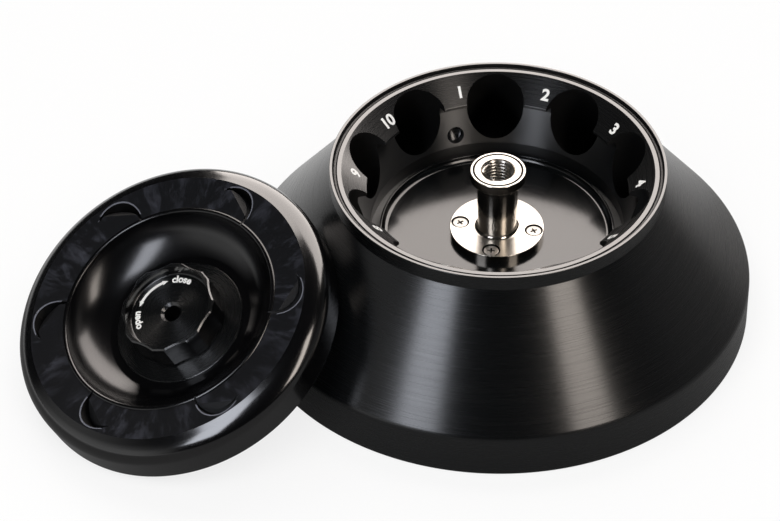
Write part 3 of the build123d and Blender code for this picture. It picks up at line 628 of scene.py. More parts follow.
# Stainless steel in painted shade: a dull, dark copy of the steel, put in bores, grooves, sinks and
# cross recesses, where shade falls.
steel_painted_shade = plain_finish("stainless_steel_painted_shade", "#1c1b1a", 1.0, (0.5, 0.6),
                           grain=0.8, depth=0.002)
# Steel, zinc plated: pale and soft in gloss.
zinc_plated = plain_finish("zinc_plated_steel", "#b9bcc0", 1.0, (0.3, 0.4), grain=0.5, depth=0.002)
# Spring steel, blanked and oiled: dark grey, with a dull sheen.
spring_steel = plain_finish("spring_steel_oiled", "#5a5855", 1.0, (0.35, 0.45),
                            grain=0.5, depth=0.002)
# Nitrile rubber, moulded: matt black.
rubber = plain_finish("nitrile_rubber_moulded", "#121212", 0.0, (0.5, 0.65), grain=0.4, depth=0.004)
# Acetal, turned: off-white and waxy.
acetal = plain_finish("acetal_turned", "#e4e0d6", 0.0, (0.35, 0.45), grain=0.5, depth=0.002)
# White enamel, filled into engraving: semi-matt, a little uneven.
white_enamel = plain_finish("enamel_white_filled", "#f2f1ee", 0.0, (0.4, 0.55),
                            grain=0.3, depth=0.002)

# --- rotor ----------------------------------------------------------------------------------------

ROTOR_OUTLINE = [
    # underside: sleeve seat, boss, hollow, foot
    (SLEEVE_BORE_R, SLEEVE_SEAT), (SLEEVE_SEAT_R, SLEEVE_SEAT), (SLEEVE_SEAT_R, 0.0),
    (BOSS_R, 0.0, 0.3), (BOSS_R, HOLLOW_TOP, 2.0), (66.0, HOLLOW_TOP, 2.0), (81.5, 15.0, 2.0),
    (84.0, 0.0, 0.3), (BASE_R, 0.0, 1.2),
    # band, skirt, collar, lip
    (BASE_R, BAND_TOP, 5.0), (83.7, COLLAR_FOOT), (COLLAR_R, COLLAR_FOOT, 0.2),
    (COLLAR_R, RIM_TOP, 0.3), (LIP_INNER_R, RIM_TOP, 0.2), (LIP_INNER_R, RIM_GROOVE_FLOOR),
    (RIM_GROOVE_R, RIM_GROOVE_FLOOR),
    # land, numbered face, step
    (RIM_GROOVE_R, LAND_TOP, 0.2), (LAND_INNER_R, LAND_TOP, 0.2), (MOUTH_R, MOUTH_TOP, 0.15),
    (STEP_R, STEP_TOP, 0.5), (STEP_R, STEP_FOOT, 0.2),
    # tapered wall, gutter, ridge
    (WALL_TOP_R, STEP_FOOT, 0.8), (WALL_TOP_R, WALL_TOP, 0.6), (WALL_FOOT_R, WALL_FOOT, 0.3),
    (WALL_FOOT_R, GUTTER_FLOOR), (RIDGE_R, GUTTER_FLOOR), (RIDGE_R, RIDGE_TOP, 0.25),
    (RIDGE_INNER_R, RIDGE_TOP, 0.25), (RIDGE_INNER_R, FLOOR_TOP, 3.0),
    # floor, hub seat, bolt hole, sleeve bore
    (HUB_SEAT_R, FLOOR_TOP), (HUB_SEAT_R, HUB_SEAT), (BOLT_HOLE_R, HUB_SEAT),
    (BOLT_HOLE_R, SLEEVE_BORE_TOP), (SLEEVE_BORE_R, SLEEVE_BORE_TOP),
]


def pocket_azimuth(number):
    """Azimuth of a pocket."""
    return FIRST_POCKET - 360 / POCKET_COUNT * (number - 1)


def pocket_place(number):
    """A pocket's own axes: they lean in towards the spin axis."""
    outset = tilted(pocket_azimuth(number), "Z") @ moved(POCKET_AXIS_R, 0, STEP_TOP)
    return outset @ tilted(-POCKET_TILT, "Y")


def tube_pocket(number):
    """Round-bottomed cutter of one tube pocket."""
    outline = [(0.0, -POCKET_DEPTH - POCKET_R)]
    for k in range(1, POCKET_END_STEPS + 1):
        a = pi / 2 * k / POCKET_END_STEPS
        outline.append((POCKET_R * sin(a), -POCKET_DEPTH - POCKET_R * cos(a)))
    outline += [(POCKET_R, POCKET_REACH), (0.0, POCKET_REACH)]
    return turned("cutter", outline, pocket_place(number), SMALL_STEPS)


def balance_hole():
    """Blind drilled hole, square to the tapered wall."""
    taper = atan2(WALL_TOP_R - WALL_FOOT_R, WALL_TOP - WALL_FOOT)
    wall_r = WALL_FOOT_R + (BALANCE_HOLE_Z - WALL_FOOT) * tan(taper)
    point = BALANCE_HOLE_R * tan(radians(DRILL_POINT))
    outline = [(0.0, -BALANCE_HOLE_DEPTH - point), (BALANCE_HOLE_R, -BALANCE_HOLE_DEPTH),
               (BALANCE_HOLE_R, BALANCE_HOLE_REACH), (0.0, BALANCE_HOLE_REACH)]
    lean = moved(wall_r, 0, BALANCE_HOLE_Z) @ Matrix.Rotation(-pi / 2 + taper, 4, "Y")
    return turned("cutter", outline, tilted(pocket_azimuth(HALFWAY), "Z") @ lean, SMALL_STEPS)


pocket_numbers = range(1, POCKET_COUNT + 1)
pocket_axes = [(place.to_translation() / MM, place.to_3x3().col[2])
               for place in map(pocket_place, pocket_numbers)]


def pick_rotor(centre, normal):
    """Rotor finish: 0 turned, 1 lapped land, 2 bored, 3 numbered face, 4 floor, 5 tapered wall."""
    r, z = hypot(centre.x, centre.y), centre.z
    for point, axis in pocket_axes:
        arm = centre - point
        off_axis = (arm - axis * arm.dot(axis)).length
        on_wall = abs(off_axis - POCKET_R) < NEAR and abs(normal.dot(axis)) < ALONG
        on_end = abs((arm + axis * POCKET_DEPTH).length - POCKET_R) < 2 * NEAR
        if on_end or (on_wall and r < POCKETS_WITHIN_R):
            return 2
    if RIM_GROOVE_R < r < LIP_INNER_R and RIM_GROOVE_FLOOR - NEAR < z < RIM_TOP - EDGE:
        return 2
    if LAND_INNER_R - EDGE < r < COLLAR_R - NEAR and z > LAND_TOP - EDGE:
        return 1
    if STEP_R < r < MOUTH_R and z > STEP_TOP and normal.z > FACE_UP:
        return 3
    if r < RIDGE_R and GUTTER_FLOOR < z < RIDGE_TOP + NEAR:
        return 4
    if r < WALL_TOP_R + 2 * NEAR and GUTTER_FLOOR - NEAR < z < STEP_TOP:
        return 5
    return 0


rotor = turned("rotor_body_turned", rounded(ROTOR_OUTLINE))
cut(rotor, [tube_pocket(number) for number in pocket_numbers] + [balance_hole()])
finished(rotor, "rotor",
         [black_turned, black_land, black_bored, black_face, black_floor, black_wall],
         ["rotor_body"], pick_rotor)

# --- hub ------------------------------------------------------------------------------------------

HUB_OUTLINE = [
    # seat, flange, waisted post, neck, head
    (BOLT_HOLE_R, HUB_SEAT), (HUB_SEAT_R, HUB_SEAT), (HUB_SEAT_R, FLOOR_TOP),
    (FLANGE_R, FLOOR_TOP), (FLANGE_R, FLANGE_TOP, 0.3), (9.7, FLANGE_TOP, 2.1), (10.5, NECK_FOOT),
    (NECK_R, NECK_FOOT, 0.1), (NECK_R, 78.8, 0.5), (HEAD_R, 81.0, 0.4), (HEAD_R, HEAD_TOP, 0.35),
    # groove in the head, mouth, bore of the thread
    (HEAD_GROOVE_OUTER_R, HEAD_TOP), (HEAD_GROOVE_OUTER_R, HEAD_GROOVE_FLOOR),
    (HEAD_GROOVE_INNER_R, HEAD_GROOVE_FLOOR), (HEAD_GROOVE_INNER_R, HEAD_TOP),
    (8.7, HEAD_TOP, 0.1), (HUB_THREAD_R, 85.3), (HUB_THREAD_R, CHAMBER_TOP),
    # chamber, and the groove of its snap ring
    (CHAMBER_R, CHAMBER_TOP), (CHAMBER_R, SNAP_GROOVE_TOP), (SNAP_GROOVE_R, SNAP_GROOVE_TOP),
    (SNAP_GROOVE_R, SNAP_GROOVE_FOOT), (CHAMBER_R, SNAP_GROOVE_FOOT), (CHAMBER_R, CHAMBER_FLOOR),
    (BOLT_HOLE_R, CHAMBER_FLOOR),
]


def thread_ridge(name, root_r, crest_r, bottom, top, place, limit):
    """Helical ridge of a screw thread, round in section so that it shines as a ring.

    limit gives the radius that the thread's ends leave it at a height.
    """
    inward = -1 if crest_r < root_r else 1
    foot = RIDGE_SHARE * THREAD_PITCH
    buried_r = root_r - BURIED * inward
    section = [(buried_r, -foot)]
    for k in range(RIDGE_STEPS + 1):
        a = pi * k / RIDGE_STEPS
        section.append((root_r + (crest_r - root_r) * sin(a), -foot * cos(a)))
    section.append((buried_r, foot))
    bm = bmesh.new()
    points = [bm.verts.new((r * MM, 0, (bottom + z) * MM)) for r, z in section]
    edges = [bm.edges.new(pair) for pair in zip(points, points[1:] + points[:1])]
    turns = (top - bottom) / THREAD_PITCH
    steps = int(SMALL_STEPS * turns)
    bmesh.ops.spin(bm, geom=points + edges, cent=(0, 0, 0), axis=(0, 0, 1), angle=2 * pi * turns,
                   steps=steps, dvec=(0, 0, (top - bottom) * MM / steps))
    bmesh.ops.holes_fill(bm, edges=[edge for edge in bm.edges if edge.is_boundary])
    for vert in bm.verts:
        r = hypot(vert.co.x, vert.co.y) / MM
        allowed = limit(vert.co.z / MM)
        if (r - allowed) * inward > 0:
            vert.co.x *= allowed / r
            vert.co.y *= allowed / r
    bmesh.ops.recalc_face_normals(bm, faces=bm.faces)
    return as_piece(name, bm, place)


def hub_thread_limit(z):
    """The chamfer of the mouth opens the thread out."""
    opened = HUB_THREAD_CREST_R + z - (HEAD_TOP - MOUTH_CHAMFER)
    return min(max(HUB_THREAD_CREST_R, opened), HUB_THREAD_R + BURIED)


def cross_recess(place):
    """Cutters of a cross recess, pointed towards its foot."""
    cutters = []
    for turn in (0, 90):
        bm = bmesh.new()
        bmesh.ops.create_cone(bm, cap_ends=True, segments=4, radius1=RECESS_FOOT_R * MM,
                              radius2=RECESS_MOUTH_R * MM, depth=RECESS_LENGTH * MM,
                              matrix=tilted(45, "Z"))
        bmesh.ops.scale(bm, vec=(1, RECESS_THINNESS, 1), verts=bm.verts)
        cutters.append(as_piece("cutter", bm, place @ tilted(turn, "Z")))
    return cutters


def screw_place(index):
    """Axes of one screw of the flange."""
    return tilted(SCREW_AZIMUTH + index * 360 / SCREW_COUNT, "Z") @ moved(SCREW_PCD_R)


def screw_sink(index):
    """Cutter of one screw's countersink and hole."""
    outline = [(0.0, SCREW_HOLE_FOOT), (SCREW_HOLE_R, SCREW_HOLE_FOOT),
               (SCREW_HOLE_R, FLANGE_TOP - SINK_DEPTH), (SINK_R, FLANGE_TOP - SINK_SIDE),
               (SINK_R, FLANGE_TOP + CLEAR), (0.0, FLANGE_TOP + CLEAR)]
    return turned("cutter", outline, screw_place(index), SMALL_STEPS)


def hub_screw(index):
    """Countersunk cross-recess screw in the hub's flange."""
    top = FLANGE_TOP - SCREW_SINK
    outline = rounded([(0.0, SCREW_FOOT), (SCREW_SHANK_R, SCREW_FOOT),
                       (SCREW_SHANK_R, top - SCREW_CONE), (SCREW_HEAD_R, top - SCREW_SIDE),
                       (SCREW_HEAD_R, top, 0.45), (0.0, top + SCREW_DOME)])
    place = screw_place(index)
    screw = turned("hub_screw_%d" % (index + 1), outline, place, SMALL_STEPS)
    stopped = tilted(RECESS_TURN + RECESS_TURN_STEP * index, "Z")
    cut(screw, cross_recess(place @ moved(z=top - RECESS_SINK) @ stopped))
    return screw


def pick_screw(centre, normal):
    """Screw finish: 0 headed, 1 painted shade in the cross recess and down the side of the head."""
    return int(centre.z < FLANGE_TOP - SCREW_SINK - 2 * NEAR)


def pick_hub(centre, normal):
    """Hub finish: 0 turned, 1 painted shade in the head's groove, the chamber and the sinks, 2 faced."""
    r, z = hypot(centre.x, centre.y), centre.z
    in_groove = (HEAD_GROOVE_INNER_R - NEAR < r < HEAD_GROOVE_OUTER_R + NEAR
                 and HEAD_GROOVE_FLOOR - NEAR < z < HEAD_TOP - SKIN)
    in_chamber = r < CHAMBER_R + NEAR and z < CHAMBER_TOP + NEAR
    in_sink = SINKS_OUTSIDE_R < r < SINKS_WITHIN_R and z < FLANGE_TOP - SKIN
    if in_groove or in_chamber or in_sink:
        return 1
    return 2 if normal.z > FACED else 0


hub = turned("hub_post_turned", rounded(HUB_OUTLINE), steps=HUB_STEPS)
cut(hub, [screw_sink(index) for index in range(SCREW_COUNT)])
finished(hub, "rotor", [steel_turned, steel_painted_shade, steel_faced], ["hub_post"], pick_hub)
hub_thread = thread_ridge("hub_thread", HUB_THREAD_R, HUB_THREAD_CREST_R, HUB_THREAD_FOOT,
                          HUB_THREAD_TOP, UPRIGHT, hub_thread_limit)
finished(hub_thread, "rotor", [steel_faced])
for index in range(SCREW_COUNT):
    screw = hub_screw(index)
    finished(screw, "rotor", [steel_plain, steel_painted_shade], ["hub_screws"], pick_screw)

# --- lid ------------------------------------------------------------------------------------------

LID_OUTSIDE = rounded([
    # boss with its seal's groove
    (BUSH_SEAT_R, PLATE_SEAT), (BUSH_SEAT_R, -4.0), (9.8, -4.0), (9.8, LID_BOSS_FOOT, 0.2),
    (11.35, LID_BOSS_FOOT), (11.35, LID_SEAL_SEAT), (13.15, LID_SEAL_SEAT),
    (13.15, LID_BOSS_FOOT), (26.0, LID_BOSS_FOOT, 0.5),
    # hollow underside
    (34.6, -5.4, 4.0), (47.1, 0.0, 14.0), (55.6, 8.6, 2.0), (57.3, 9.2, 1.0), (68.0, 10.6, 2.0),
    # spigot, seat and wall
    (71.0, 7.4, 1.5), (71.0, SPIGOT_FOOT, 0.3), (73.0, SPIGOT_FOOT, 0.5), (77.0, -6.5, 0.3),
    (77.0, LID_WALL_FOOT), (LID_R, LID_WALL_FOOT, 0.7),
    # rolled shoulder and ring
    (LID_R, 11.9, 8.5), (76.0, 15.3, 20.0), (RING_OUTER_R, RING_OUTER_Z),
    (RING_INNER_R, RING_INNER_Z),
])
LID_BEAD = arc((RING_INNER_R, RING_INNER_Z), (55.0, 15.9), (BOWL_TOP_R, BOWL_TOP))
LID_BOWL = arc((BOWL_TOP_R, BOWL_TOP), (46.5, 4.4), (36.6, BOWL_FOOT), BOWL_STEPS)
LID_OUTLINE = LID_OUTSIDE + LID_BEAD[1:] + LID_BOWL[1:] + [(PLATE_R, BOWL_FOOT), (PLATE_R, PLATE_SEAT)]


def ring_height(r):
    """Height of the conical ring at a radius."""
    share = (r - RING_INNER_R) / (RING_OUTER_R - RING_INNER_R)
    return RING_INNER_Z + share * (RING_OUTER_Z - RING_INNER_Z)


def crescent_place(index):
    """Axes of a crescent's flat-ended cutter, which is set askew."""
    azimuth = CRESCENT_AZIMUTH + index * 360 / CRESCENT_COUNT
    pitch_point = tilted(azimuth, "Z") @ moved(CRESCENT_R, CRESCENT_OFFSET, RING_Z)
    back = sqrt(CRESCENT_CUTTER_R ** 2 - (CRESCENT_CHORD / 2) ** 2)
    return pitch_point @ tilted(-CRESCENT_SKEW, "Z") @ tilted(CRESCENT_TILT, "Y") @ moved(-back)


def crescent_bar(radius, bottom, top, place):
    """Round bar between two heights of a place, as a cutter."""
    bm = bmesh.new()
    bmesh.ops.create_cone(bm, cap_ends=True, segments=CRESCENT_STEPS, radius1=radius * MM,
                          radius2=radius * MM, depth=(top - bottom) * MM,
                          matrix=moved(z=(bottom + top) / 2))
    return as_piece("cutter", bm, place)


def crescent_cutters():
    """Each crescent is a sloping flat with a broken edge and a kerf along its curved side."""
    core = [(0.0, CORE_FOOT), (CORE_R, CORE_FOOT), (CORE_R, ring_height(CORE_R) - EDGE_DEPTH),
            (0.0, ring_height(0.0) - EDGE_DEPTH)]
    for index in range(CRESCENT_COUNT):
        place = LEANING @ crescent_place(index)
        yield crescent_bar(CRESCENT_CUTTER_R, 0, CUTTER_REACH, place)
        edge = crescent_bar(CRESCENT_CUTTER_R + EDGE_BREAK, 0, CUTTER_REACH, place)
        cut(edge, [turned("cutter", core, LEANING)])
        yield edge
        kerf = crescent_bar(CRESCENT_CUTTER_R, -KERF_DEPTH, KERF_REACH, place)
        cut(kerf, [crescent_bar(CRESCENT_CUTTER_R, -KERF_DEPTH - CLEAR, CLEAR, place @ moved(-KERF_W))])
        yield kerf


def pick_lid(centre, normal):
    """Lid finish: 0 polished, 1 handled ring with painted sheen, 2 milled, 3 kerfs in painted shade, 4
    satin bowl, 5 broken edges with a painted highlight.
    """
    r, z = hypot(centre.x, centre.y), centre.z
    if z < BOWL_FOOT - 2 * NEAR or normal.z < LOOKS_DOWN:
        return 0
    if r < RING_INNER_R - SKIN:
        return 4
    if r > RING_OUTER_R + SKIN or z > ring_height(r) + NEAR:
        return 0
    if abs(z - ring_height(r)) < SKIN and normal.z > RING_LEVEL:
        return 1
    flats = [crescent_place(index).to_3x3().col[2] for index in range(CRESCENT_COUNT)]
    if max(normal.dot(axis) for axis in flats) > SAME_WAY:
        return 2
    return 5 if z > ring_height(r) - EDGE_DEPTH - SKIN else 3


lid = turned("lid_shell_turned", LID_OUTLINE, LEANING)
cut(lid, list(crescent_cutters()))
finished(lid, "lid", [black_polished, black_ring, black_milled, kerf_painted_shade, black_bowl, edge_painted_highlight],
         ["lid_shell"], pick_lid, LEANING)

PLATE_OUTLINE = [(BUSH_SEAT_R, PLATE_SEAT), (PLATE_R, PLATE_SEAT), (PLATE_R, 0.0, 0.4),
                 (BUSH_SEAT_R, 0.0)]
plate = turned("lid_centre_plate_turned", rounded(PLATE_OUTLINE), LEANING, HUB_STEPS)
finished(plate, "lid", [black_knob], ["lid_centre_plate"])


# --- knob and spindle -----------------------------------------------------------------------------

def chamfer_knob(bm):
    """Chamfer round the knob's rim."""
    rim = [edge for edge in bm.edges if all(vert.co.z > (KNOB_TOP - NEAR) * MM for vert in edge.verts)]
    bmesh.ops.bevel(bm, geom=rim, offset=KNOB_CHAMFER * MM, offset_type="OFFSET", segments=1,
                    profile=0.5, affect="EDGES", material=-1)


def knob_grip():
    """Prism with eight lands, joined by shallow scallops, and a chamfered rim."""
    half, step = radians(KNOB_LAND_ANGLE / 2), radians(360 / KNOB_LANDS)
    outline = []
    for i in range(KNOB_LANDS):
        centre = radians(KNOB_LAND_AZIMUTH) + i * step
        outline.append((KNOB_LAND_R, centre - half))
        for k in range(SCALLOP_STEPS):
            share = k / SCALLOP_STEPS
            sag = KNOB_SCALLOP * 4 * share * (1 - share)
            outline.append((KNOB_LAND_R - sag, centre + half + (step - 2 * half) * share))
    return raised_prism("knob_grip", outline, KNOB_BOTTOM, KNOB_TOP - KNOB_BOTTOM, LEANING, chamfer_knob)


def pick_knob(centre, normal):
    """Knob finish: 0 turned, 1 polished on the side and the dish's wall."""
    return int(abs(normal.z) < KNOB_STEEP and centre.length > KNOB_CORE_R)


def pick_spindle(centre, normal):
    """Spindle finish: 0 bright, 1 painted shade in its bore."""
    return int(hypot(centre.x, centre.y) < KEY_HOLE_R + NEAR)


def spindle_thread_limit(z):
    """The thread runs out in a chamfer at both ends."""
    at_foot = SPINDLE_SHANK_R + z - SPINDLE_FOOT
    at_top = SPINDLE_SHANK_R - (z - SPINDLE_RUNOUT)
    return min(SPINDLE_THREAD_CREST_R, at_foot, at_top)


DISH = rounded([(0.0, KNOB_FACE), (DISH_FOOT_R, KNOB_FACE, 0.6), (DISH_TOP_R, KNOB_TOP),
                (DISH_TOP_R, DISH_REACH), (0.0, DISH_REACH)])
UNDERCUT = [(UNDERCUT_INNER_R, 0.0), (UNDERCUT_OUTER_R, 0.0), (UNDERCUT_OUTER_R, UNDERCUT_TOP),
            (UNDERCUT_INNER_R, UNDERCUT_TOP)]
SOCKET = [(0.0, 0.0), (SPINDLE_HEAD_R, 0.0), (SPINDLE_HEAD_R, SPINDLE_TOP), (KEY_HOLE_R, SPINDLE_TOP),
          (KEY_HOLE_R, 9.2), (KEY_HOLE_MOUTH_R, KNOB_FACE), (KEY_HOLE_MOUTH_R, KEY_HOLE_REACH),
          (0.0, KEY_HOLE_REACH)]
knob = knob_grip()
cut(knob, [turned("cutter", DISH, LEANING, HUB_STEPS), turned("cutter", UNDERCUT, LEANING, HUB_STEPS),
           turned("cutter", SOCKET, LEANING, SMALL_STEPS)])
finished(knob, "knob", [black_knob, black_polished], ["knob"], pick_knob, LEANING)

SPINDLE_OUTLINE = [
    (KEY_HOLE_R, SPINDLE_TOP), (SPINDLE_HEAD_R, SPINDLE_TOP), (SPINDLE_HEAD_R, SPINDLE_GROOVE_TOP),
    (SPINDLE_GROOVE_R, SPINDLE_GROOVE_TOP), (SPINDLE_GROOVE_R, SPINDLE_GROOVE_FOOT),
    (SPINDLE_HEAD_R, SPINDLE_GROOVE_FOOT), (SPINDLE_HEAD_R, -7.0, 0.3), (SPINDLE_SHANK_R, -7.4),
    (SPINDLE_SHANK_R, SPINDLE_FOOT, 0.4), (KEY_HOLE_R, SPINDLE_FOOT, 0.3),
]
spindle = turned("knob_spindle_turned", rounded(SPINDLE_OUTLINE), LEANING, SMALL_STEPS)
finished(spindle, "knob", [steel_leaning, steel_painted_shade], ["knob_spindle"], pick_spindle,
         LEANING)
spindle_thread = thread_ridge("spindle_thread", SPINDLE_THREAD_R, SPINDLE_THREAD_CREST_R,
                              SPINDLE_THREAD_FOOT, SPINDLE_THREAD_TOP, LEANING, spindle_thread_limit)
finished(spindle_thread, "knob", [steel_leaning])


# --- lettering ------------------------------------------------------------------------------------

def lettering(name, text, size, weight, lay, place):
    """Raised lettering; lay puts a letter's point (right, up, out) on the surface."""
    curve = bpy.data.curves.new(name, "FONT")
    curve.body = text
    curve.size = size
    curve.offset = weight
    curve.extrude = ENAMEL_HALF
    curve.align_x = "CENTER"
    curve.align_y = "CENTER"
    curve.resolution_u = LETTER_STEPS
    flat = bpy.data.objects.new(name, curve)
    bpy.context.scene.collection.objects.link(flat)
    mesh = bpy.data.meshes.new_from_object(flat.evaluated_get(bpy.context.evaluated_depsgraph_get()))
    bpy.data.objects.remove(flat)
    bm = bmesh.new()
    bm.from_mesh(mesh)
    bmesh.ops.remove_doubles(bm, verts=bm.verts, dist=SAME_POINT)
    for vert in bm.verts:
        vert.co = Vector(lay(*vert.co)) * MM
    return as_piece(name, bm, place)


def on_cone(azimuth, middle_r, middle_z, slope):
    """Letters on a cone, their tops outwards: its slope is 0 on a flat face."""
    def lay(right, up, out):
        r = middle_r + up * cos(slope) - out * sin(slope)
        turn = radians(azimuth) - right / middle_r
        return r * cos(turn), r * sin(turn), middle_z + up * sin(slope) + out * cos(slope)
    return lay


face_slope = atan2(MOUTH_TOP - STEP_TOP, MOUTH_R - STEP_R)
number_z = STEP_TOP + (NUMBER_R - STEP_R) * tan(face_slope)
for number in pocket_numbers:
    lay = on_cone(pocket_azimuth(number) + NUMBER_STEP, NUMBER_R, number_z, face_slope)
    mark = lettering("pocket_number_%d" % number, str(number), NUMBER_SIZE, NUMBER_WEIGHT, lay, UPRIGHT)
    finished(mark, "rotor", [white_enamel])
for word, azimuth in WORDS.items():
    lay = on_cone(azimuth, WORD_R, KNOB_FACE, 0)
    mark = lettering("knob_word_%s" % word, word, WORD_SIZE, WORD_WEIGHT, lay, LEANING)
    finished(mark, "knob", [white_enamel])


def turn_arrow():
    """Bent arrow with a head at each end, on the knob's face."""
    start, end = radians(ARROW_START), radians(ARROW_END)
    head = ARROW_HEAD_LENGTH / ARROW_R
    shaft = [start + head + (end - start - 2 * head) * k / ARROW_STEPS for k in range(ARROW_STEPS + 1)]
    barb, edge = ARROW_HEAD_WIDTH / 2, ARROW_WIDTH / 2
    outline = [(ARROW_R, start), (ARROW_R + barb, shaft[0])]
    outline += [(ARROW_R + edge, angle) for angle in shaft]
    outline += [(ARROW_R + barb, shaft[-1]), (ARROW_R, end), (ARROW_R - barb, shaft[-1])]
    outline += [(ARROW_R - edge, angle) for angle in reversed(shaft)]
    outline += [(ARROW_R - barb, shaft[0])]
    return raised_prism("knob_turn_arrow", outline, KNOB_FACE - ENAMEL_HALF, 2 * ENAMEL_HALF, LEANING,
                        lambda bm: bmesh.ops.triangulate(bm, faces=bm.faces))


finished(turn_arrow(), "knob", [white_enamel])

# --- pieces that keep their own shape -------------------------------------------------------------

PLAIN_NODES = {
    "rim_seal": rubber, "hub_flange_seal": rubber, "lid_centre_seal": rubber,
    "rotor_bolt": zinc_plated, "bolt_washer": zinc_plated, "bolt_snap_ring": spring_steel,
    "shaft_sleeve": steel_turned, "sleeve_screws": zinc_plated, "sleeve_dowels": steel_plain,
    "spindle_bush": acetal, "thrust_washer": acetal, "spindle_retainer": spring_steel,
    "glide_washer": acetal, "knob_pins": steel_plain,
}
for name, material in PLAIN_NODES.items():
    frame["nodes"][name].data.materials.clear()
    frame["nodes"][name].data.materials.append(material)

# --- floor, light, camera; lengths in metres ------------------------------------------------------

WATTS = 4                       # energy of an area lamp of one square metre and a radiance of 1
AIM = Vector((0, 0, 0.06))      # where the lamps point

WHITE = "#ffffff"
PAPER = "#f3f3f3"
AMBIENT = 0.25                  # plain light from all round
ROOM = 0.02                     # darkest part of the room that reflections show
ROOM_GLOWS = (                  # its pale sides: the way to each, and how bright it is
    ((-0.87, -0.5, 0.0), 0.8),
    ((0.98, 0.2, 0.0), 0.15),
)
GLOW_COSINES = (0.75, 0.95)     # a glow grows from nothing at one cosine to all at the other
GLOW_HEIGHTS = (0.2, 0.6)       # and fades between these heights of the sky
GLOW_HIGH = 0.1

FLOOR_R = 6.0
# The floor's look in reflections is painted light and shade: bright over two stretches, dim elsewhere.
BEHIND = (0.02, 0.12)           # reflections show the floor grow bright over this stretch of Y
BEHIND_TURN = 0.6               # which turns back this much per metre to the right
FAR_LEFT = (-0.55, -0.3)        # and over this one of X
FAR_LEFT_GLOW = 1.1
FLOOR_DIM = 0.1                 # how bright they show it elsewhere
FLOOR_OWN_GLOW = 0.8            # share of the floor's look that is its own glow, not the lamps'

LENS = 162.12                   # in millimetres, as is the sensor's width
SENSOR_WIDTH = 36.0
CAMERA_PLACE = (0, -1.34999, 1.20503)
CAMERA_AZIMUTH = 2.301
CAMERA_SLOPE = 41.144           # downwards
CAMERA_ROLL = -0.3776


def softbox(name, azimuth, elevation, distance, size, radiance, colour, glossy=True, diffuse=True,
            roll=0):
    """Soft rectangular lamp that faces the object. Azimuth 0 is +X and 90 is behind the object."""
    width, height = size
    lamp = bpy.data.lights.new(name, "AREA")
    lamp.shape = "RECTANGLE"
    lamp.size, lamp.size_y = width, height
    lamp.energy = WATTS * radiance * width * height
    lamp.color = linear(colour)[:3]
    holder = bpy.data.objects.new(name, lamp)
    bpy.context.scene.collection.objects.link(holder)
    a, e = radians(azimuth), radians(elevation)
    away = Vector((cos(a) * cos(e), sin(a) * cos(e), sin(e)))
    facing = away.to_track_quat("Z", "Y") @ Quaternion((0, 0, 1), radians(roll))
    holder.rotation_euler = facing.to_euler()
    holder.location = AIM + away * distance
    holder.visible_camera = False
    holder.visible_glossy = glossy
    holder.visible_diffuse = diffuse


def ray_kinds(tree):
    """Whether a ray is seen straight or through glass, and whether it is a reflection's."""
    rays = add(tree, "ShaderNodeLightPath").node.outputs
    seen = add(tree, "ShaderNodeMath", [rays["Is Camera Ray"], rays["Is Transmission Ray"]],
               operation="MAXIMUM")
    return seen, rays["Is Glossy Ray"]


def studio_world():
    """White background, plain dim light, and a dark room for reflections with two pale sides."""
    world = bpy.data.worlds.new("studio")
    bpy.context.scene.world = world
    world.use_nodes = True
    tree = world.node_tree
    tree.nodes.clear()
    sky = add(tree, "ShaderNodeTexCoord", out="Generated")
    height = add(tree, "ShaderNodeSeparateXYZ", [sky], out="Z")
    sides = []
    for towards, strength in ROOM_GLOWS:
        near = add(tree, "ShaderNodeVectorMath", [sky, towards], out="Value", operation="DOT_PRODUCT")
        sides.append(add(tree, "ShaderNodeMapRange", [near, *GLOW_COSINES, 0.0, strength]))
    both = add(tree, "ShaderNodeMath", sides, operation="ADD")
    low = add(tree, "ShaderNodeMapRange", [height, *GLOW_HEIGHTS, 1.0, GLOW_HIGH])
    glow = add(tree, "ShaderNodeMath", [both, low], operation="MULTIPLY")
    room = add(tree, "ShaderNodeMath", [glow, ROOM], operation="ADD")
    seen, mirrored = ray_kinds(tree)
    light = add(tree, "ShaderNodeMix", {"Factor": mirrored, 2: AMBIENT, 3: room}, data_type="FLOAT")
    strength = add(tree, "ShaderNodeMix", {"Factor": seen, 2: light, 3: 1.0}, data_type="FLOAT")
    back = add(tree, "ShaderNodeBackground", [linear(WHITE), strength])
    add(tree, "ShaderNodeOutputWorld", [back])


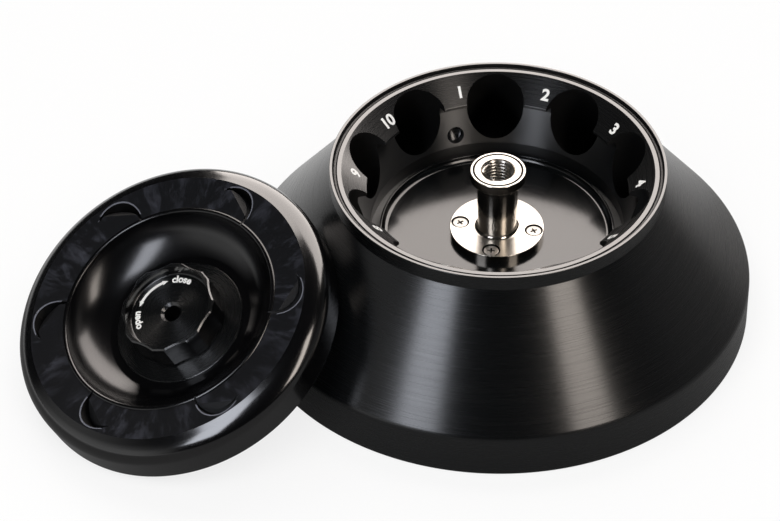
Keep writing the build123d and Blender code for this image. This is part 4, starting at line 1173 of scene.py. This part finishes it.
def floor():
    """White paper that takes the object's shadow.

    Reflections show it with painted light and shade: dim near the object, and bright behind it and far
    to the left.
    """
    bm = bmesh.new()
    bmesh.ops.create_circle(bm, cap_ends=True, segments=SMALL_STEPS, radius=FLOOR_R)
    ground = as_piece("floor", bm)
    material, tree = new_material("floor_paper_white")
    seen, mirrored = ray_kinds(tree)
    here = add(tree, "ShaderNodeTexCoord", out="Object")
    place = add(tree, "ShaderNodeSeparateXYZ", [here]).node.outputs
    to_right = add(tree, "ShaderNodeMath", [place["X"], 0.0], operation="MAXIMUM")
    turn_back = add(tree, "ShaderNodeMath", [to_right, BEHIND_TURN], operation="MULTIPLY")
    behind = add(tree, "ShaderNodeMath", [place["Y"], turn_back], operation="SUBTRACT")
    behind = add(tree, "ShaderNodeMapRange", [behind, *BEHIND, FLOOR_DIM, 1.0])
    far_left = add(tree, "ShaderNodeMapRange", [place["X"], *FAR_LEFT, FAR_LEFT_GLOW, 0.0])
    pale = add(tree, "ShaderNodeMath", [behind, far_left], operation="MAXIMUM")
    in_mirrors = add(tree, "ShaderNodeMath", [mirrored, pale], operation="MULTIPLY")
    strength = add(tree, "ShaderNodeMath", [seen, in_mirrors], operation="MAXIMUM")
    glow = add(tree, "ShaderNodeEmission", [linear(WHITE), strength])
    direct = add(tree, "ShaderNodeMath", [seen, mirrored], operation="MAXIMUM")
    share = add(tree, "ShaderNodeMath", [direct, FLOOR_OWN_GLOW], operation="MULTIPLY")
    paper = add(tree, "ShaderNodeBsdfDiffuse", [linear(PAPER)])
    mixed = add(tree, "ShaderNodeMixShader", [share, paper, glow])
    add(tree, "ShaderNodeOutputMaterial", [mixed])
    ground.data.materials.append(material)


def studio_camera():
    """Camera that looks down on the object from in front, 1.8 m away."""
    lens = bpy.data.cameras.new("camera")
    lens.sensor_width = SENSOR_WIDTH
    lens.lens = LENS
    lens.clip_start, lens.clip_end = 0.05, 50.0
    camera = bpy.data.objects.new("camera", lens)
    bpy.context.scene.collection.objects.link(camera)
    turn = tilted(CAMERA_AZIMUTH, "Z") @ tilted(90 - CAMERA_SLOPE, "X") @ tilted(CAMERA_ROLL, "Z")
    camera.matrix_world = Matrix.Translation(CAMERA_PLACE) @ turn
    bpy.context.scene.camera = camera


# Three lamps show only as highlights, and two give plain light with no highlight of their own.
softbox("box_behind", azimuth=74, elevation=36, distance=1.8, size=(2.2, 1.9), radiance=5.0,
        colour="#fff6f0", diffuse=False)
softbox("strip_right", azimuth=-50, elevation=36, distance=0.46, size=(0.12, 0.38), radiance=6.5,
        colour="#fff4ea", diffuse=False, roll=-8)
softbox("strip_left", azimuth=-123, elevation=32, distance=0.5, size=(0.13, 0.34), radiance=7.0,
        colour="#eef2fc", diffuse=False, roll=20)
softbox("fill_behind", azimuth=90, elevation=50, distance=2.0, size=(2.4, 1.6), radiance=1.6,
        colour="#fffaf6", glossy=False)
softbox("fill_front", azimuth=-95, elevation=55, distance=2.0, size=(2.4, 1.6), radiance=2.2,
        colour=WHITE, glossy=False)
studio_world()
floor()
studio_camera()
bpy.context.scene.view_settings.view_transform = "Standard"
